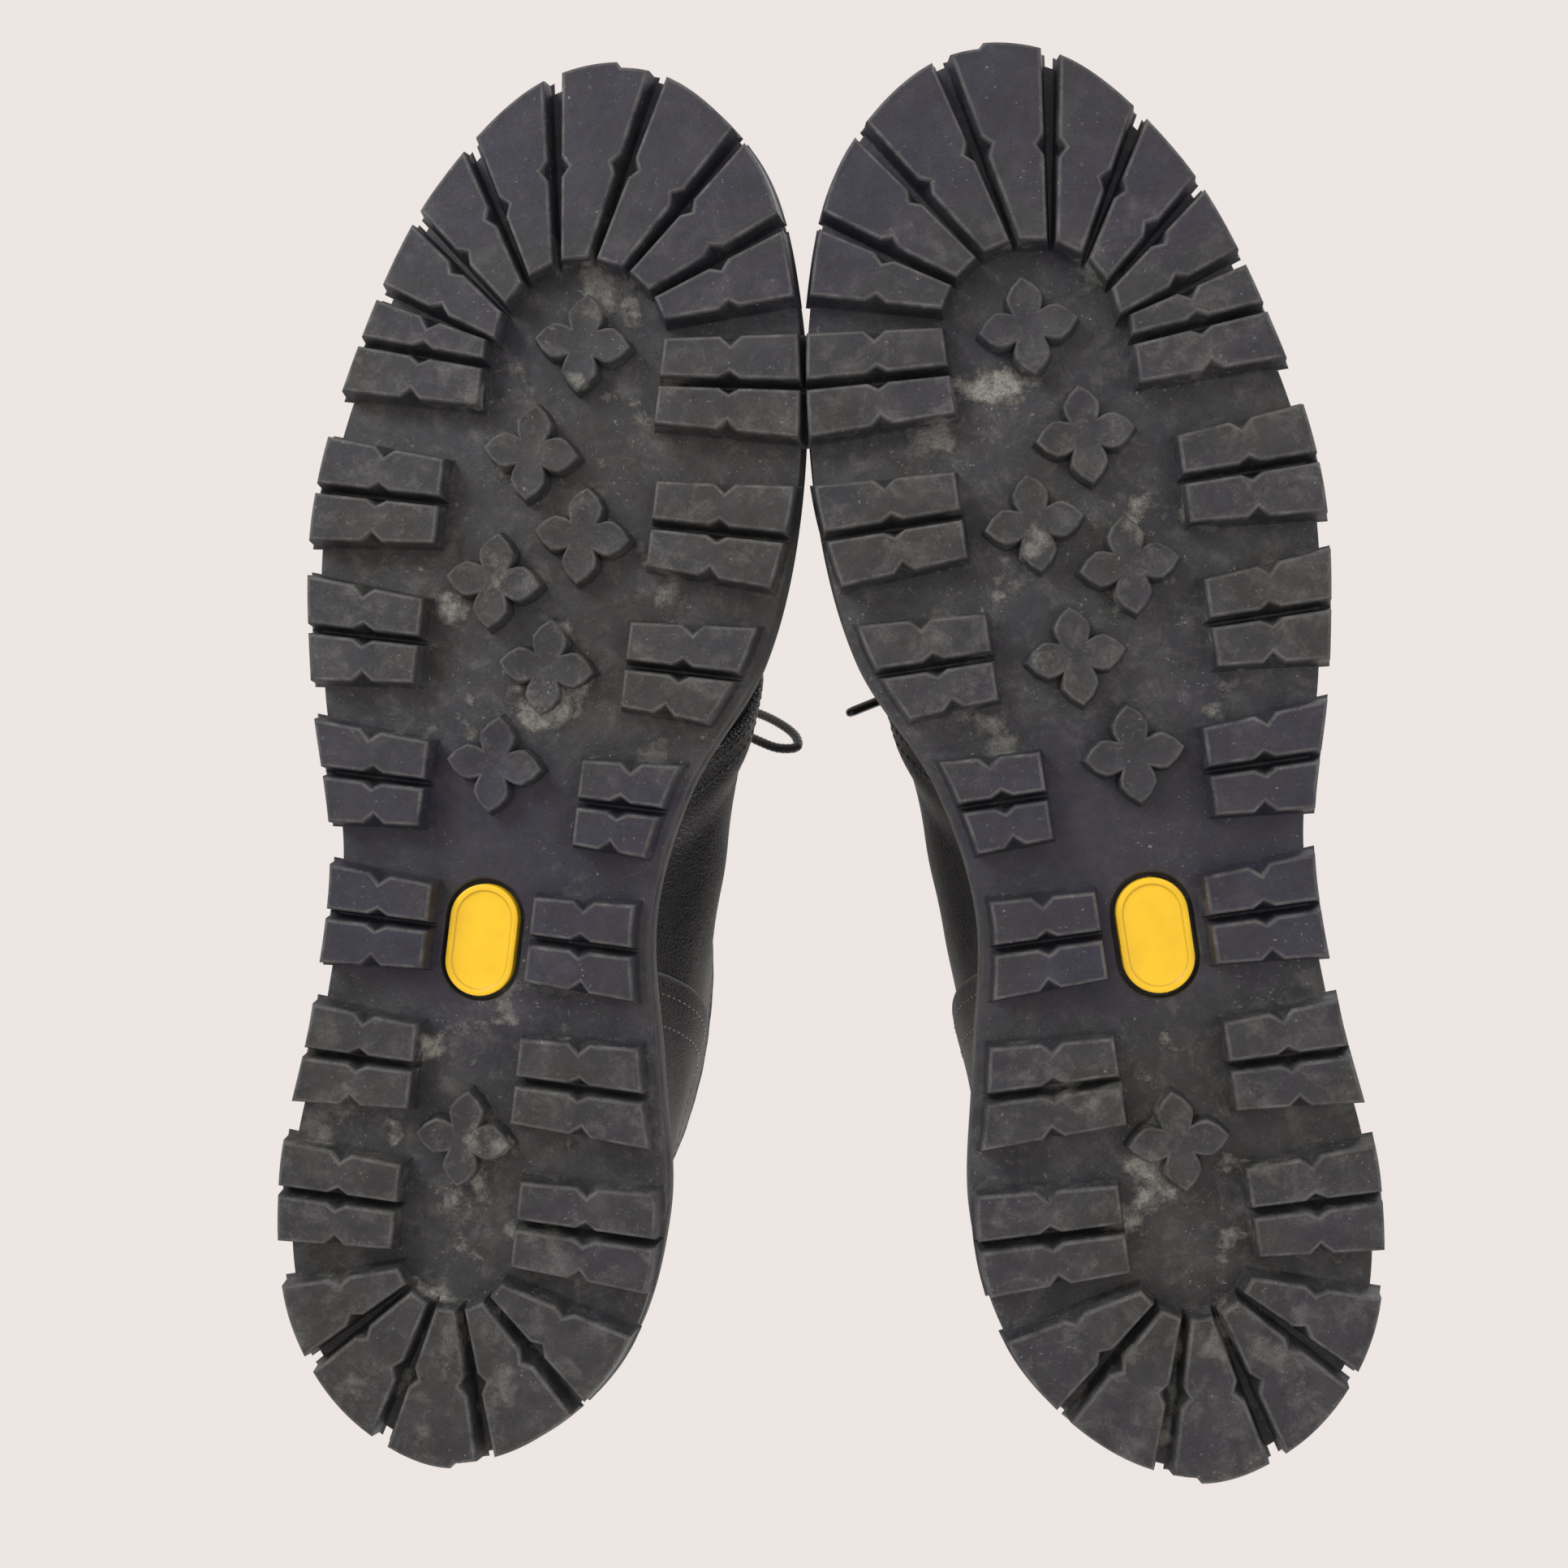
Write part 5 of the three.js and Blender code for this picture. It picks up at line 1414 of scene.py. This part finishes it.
def laced(start_side, crossing):
    """One strand's route from the lowest pair of eyelets to the knot."""
    stops = [(0, FIRST_EYELET - 0.016, 1.5), (start_side * 17, FIRST_EYELET - 0.012, 1.5)]
    for index, s in enumerate(eyelet_rise):
        side = start_side if index % 2 == 0 else -start_side
        stops += [
            (side * 25, s - 0.006, 1.6), (side * 32.5, s - 0.001, 2.4), (side * 35.6, s, 5.2),
            (side * 35.2, s + 0.002, 7.9), (side * 31, s + 0.006, 8.6), (side * 24.5, s + 0.012, 8.3),
        ]
        if index < EYELET_PAIRS - 1:
            after = eyelet_rise[index + 1]
            stops += [
                (side * 17, s + (after - s) * 0.36, 5.4), (0, (s + after) / 2, crossing),
                (-side * 15, s + (after - s) * 0.66, 1.9),
            ]
    theta, s, offset = np.array(stops).T
    side = -start_side
    line = [*upper_point(theta, s, offset), KNOT + [side * 9, -8, -1.6], KNOT + [side * 4, -2.6, -0.6], KNOT]
    return smooth_route(line, 0.5)


for part, start_side, crossing in (("lace_over", 1, 4.6), ("lace_under", -1, 1.7)):
    points, faces = tube(laced(start_side, crossing), LACE / 2, 16, BRAID_RELIEF)
    both_boots(part, points, faces, lace_cord, "lace_cord", smooth=180)


# Knot. The two ends cross, one wraps round both, and the loops and tails leave from it.
def several_tubes(routes, radius, sides):
    """Tubes along several routes as one mesh."""
    all_points, all_faces = [], []
    for route in routes:
        points, faces = tube(smooth_route(route, 0.42), radius, sides, BRAID_RELIEF)
        first = sum(len(p) for p in all_points)
        all_points.append(points)
        all_faces += [tuple(k + first for k in face) for face in faces]
    return np.vstack(all_points), all_faces


turns = np.linspace(-0.35, 2.75, 36) * math.pi
wrap = np.column_stack([
    KNOT[0] - 2.1 + 0.48 * turns, KNOT[1] + 3.1 * np.cos(turns), KNOT[2] + 4.2 * np.sin(turns),
])
knot_routes = [
    [(-3.3, 174, 149), (0.5, 174.2, 148.8), (5, 172.6, 147.4), (9.5, 171.4, 145.4), (13.3, 171.5, 144.5)],
    [(-3.3, 171.5, 144.5), (0.5, 171.2, 145.2), (5, 171.2, 147.2), (9.5, 173.6, 148.9), (13.3, 174, 149)],
    [(4, 171.5, 146), (1.8, 174.6, 144.8), (0.3, 176.2, 143), (0, 176.5, 141.5)],
    [(6, 171.5, 146), (8.2, 174.6, 144.8), (9.7, 176.2, 143), (10, 176.5, 141.5)],
    wrap,
]
points, faces = several_tubes(knot_routes, LACE / 2, 16)
both_boots("knot", points, faces, lace_cord, "lace_cord", smooth=180)


# Tongue. A padded flap of soft hide behind the laces: fullest near its top, thinner to the sides,
# with two sewn channels and a rounded top edge that stands above the collar.
TONGUE_WALL = (-3.6, -0.3)


def tongue_edges(s):
    arch = math.sqrt(max(1 - (max(s - 0.985, 0) / 0.0958) ** 2.4, 0.02))
    half = (40 - 8 * (s - 0.46)) * arch
    return -half, half


def channels(theta):
    return sum(np.exp(-((theta - line) / 1.5) ** 2) for line in (-13, 13))


def tongue_front(theta, s):
    full = 1 - np.abs(theta / 40) ** 2.5
    above = smoothstep(s, 0.975, 1.04)
    return -0.75 * channels(theta) * full + above * (1.2 * full - 0.3) - slack(theta, s) * (1 - above)


def tongue_back(theta, s):
    full = 1 - np.abs(theta / 40) ** 2.2
    return -1.6 * full * smoothstep(s, 0.5, 0.7) + 0.8 * channels(theta) * full


points, faces = panel(tongue_edges, (0.46, 1.08), TONGUE_WALL, tongue_front, step=1.5, rim=1.6, both=True,
                      inner_lift=tongue_back)
for tongue in both_boots("tongue", points, faces, black_leather, "black_leather", body="tongue"):
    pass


# Inside the sole. A leatherboard insole lies over a filler of granulated cork, with a strip of
# spring steel let in under the waist so that the boot doesn't fold there.
def inlay(name, dark, light, size, rough_from, rough_to, relief):
    """Fibrous or granular sheet: two tones at one size, over a slower drift."""
    made, tree, shader = new_material(name, IOR=1.5)
    place = add(tree, "ShaderNodeTexCoord").outputs["Object"]
    cells = add(tree, "ShaderNodeTexVoronoi", {"Vector": place, "Scale": 1 / size})
    drift = add(tree, "ShaderNodeTexNoise", {"Vector": place, "Scale": 0.12 / size, "Detail": 4})
    mixed = add(tree, "ShaderNodeMix", {0: 0.5, 2: cells.outputs["Distance"], 3: drift.outputs["Fac"]})
    tone = add(tree, "ShaderNodeMix", {
        0: mixed.outputs[0], 6: paint(dark), 7: paint(light),
    }, data_type="RGBA")
    tree.links.new(tone.outputs[2], shader.inputs["Base Color"])
    dull = add(tree, "ShaderNodeMapRange", {"Value": drift.outputs["Fac"], "To Min": rough_from,
                                            "To Max": rough_to})
    tree.links.new(dull.outputs[0], shader.inputs["Roughness"])
    bump = add(tree, "ShaderNodeBump", {
        "Height": cells.outputs["Distance"], "Strength": 0.5, "Distance": relief,
    })
    tree.links.new(bump.outputs["Normal"], shader.inputs["Normal"])
    return made, tree, shader


INSIDE = {
    "cork_filler": inlay("granulated_cork", "#7a4f2c", "#c08a55", 0.0025, 0.85, 0.98, 0.0004)[0],
    "insole_board": inlay("pressed_leatherboard", "#6d4f33", "#9c7a55", 0.0007, 0.8, 0.95, 0.0001)[0],
}
shank_steel, tree, shader = inlay("tempered_strip_steel", "#6f7174", "#a4a7aa", 0.0008, 0.28, 0.45, 0.00003)
shader.inputs["Metallic"].default_value = 1
INSIDE["shank"] = shank_steel
for boot in HANDS:
    for node, finish in INSIDE.items():
        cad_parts[f"{boot}_{node}"].material_slots[0].material = finish

# Stiffeners. A thin heated puff is shaped over the toe and a board counter round the heel, each
# lying between the lining and the hide.
STIFFENER_WALL = (1.5, 2.7)
toe_puff = inlay("thermoplastic_puff", "#4b3a2b", "#6a543f", 0.0009, 0.6, 0.8, 0.0001)[0]
counter_board = inlay("counter_board", "#54402d", "#7b6248", 0.0009, 0.7, 0.9, 0.0001)[0]
for part, edges, top, finish in (
    ("toe_puff", (-54, 54), 0.31, toe_puff), ("heel_counter", (126, 234), 0.4, counter_board),
):
    points, faces = panel(
        lambda s: edges, (0.01, top), STIFFENER_WALL, lambda theta, s: -slack(theta, s),
        step=3, rim=0.3,
    )
    both_boots(part, points, faces, finish, "stiffener")

# Footbed. Foam under woven cloth, moulded up at its rim to cup the foot.
FOOTBED_INSET = LAST_INSET + 3.4
footbed = Mould()
FOOTBED_PROFILE = [
    (21.4, 0.9), (21.5, 0.3), (21.9, 0), (25.0, 0), (25.6, 0.25), (25.85, 0.8), (25.9, 1.6), (25.5, 3.4),
    (24.8, 6), (24.3, 9), (24.1, 12),
]
footbed.stack([(inset_outline(FOOTBED_INSET + grow, 3), z, 0) for z, grow in FOOTBED_PROFILE])
woven_cloth, tree, shader = new_material("woven_footbed_cloth", Roughness=0.92, Sheen_Weight=0.4)
# A plain weave at 0.7 mm, darker where the foot presses
place = add(tree, "ShaderNodeTexCoord").outputs["Object"]
warp = add(tree, "ShaderNodeTexWave", {"Vector": place, "Scale": 0.314 / 0.0007}, bands_direction="X")
weft = add(tree, "ShaderNodeTexWave", {"Vector": place, "Scale": 0.314 / 0.0007}, bands_direction="Y")
weave = add(tree, "ShaderNodeMath", {
    0: warp.outputs["Fac"], 1: weft.outputs["Fac"],
}, operation="MULTIPLY")
press = add(tree, "ShaderNodeTexNoise", {"Vector": place, "Scale": 1 / 0.03, "Detail": 3})
cloth_share = add(tree, "ShaderNodeMath", {
    0: weave.outputs[0], 1: press.outputs["Fac"],
}, operation="MULTIPLY")
cloth_tone = add(tree, "ShaderNodeMix", {
    0: cloth_share.outputs[0], 6: paint("#1d1d1f"), 7: paint("#4d4d52"),
}, data_type="RGBA")
tree.links.new(cloth_tone.outputs[2], shader.inputs["Base Color"])
threads = add(tree, "ShaderNodeBump", {"Height": weave.outputs[0], "Strength": 0.6, "Distance": 0.0002})
tree.links.new(threads.outputs["Normal"], shader.inputs["Normal"])
both_boots("footbed", footbed.points, footbed.faces, woven_cloth, "footbed_foam")


# The box of the visual model beside the box of the plain one
boxes = {
    "cad": [list(map(float, corner)) for corner in (cad_low, cad_high)],
    "visual": [list(map(float, corner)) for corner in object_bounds()],
}
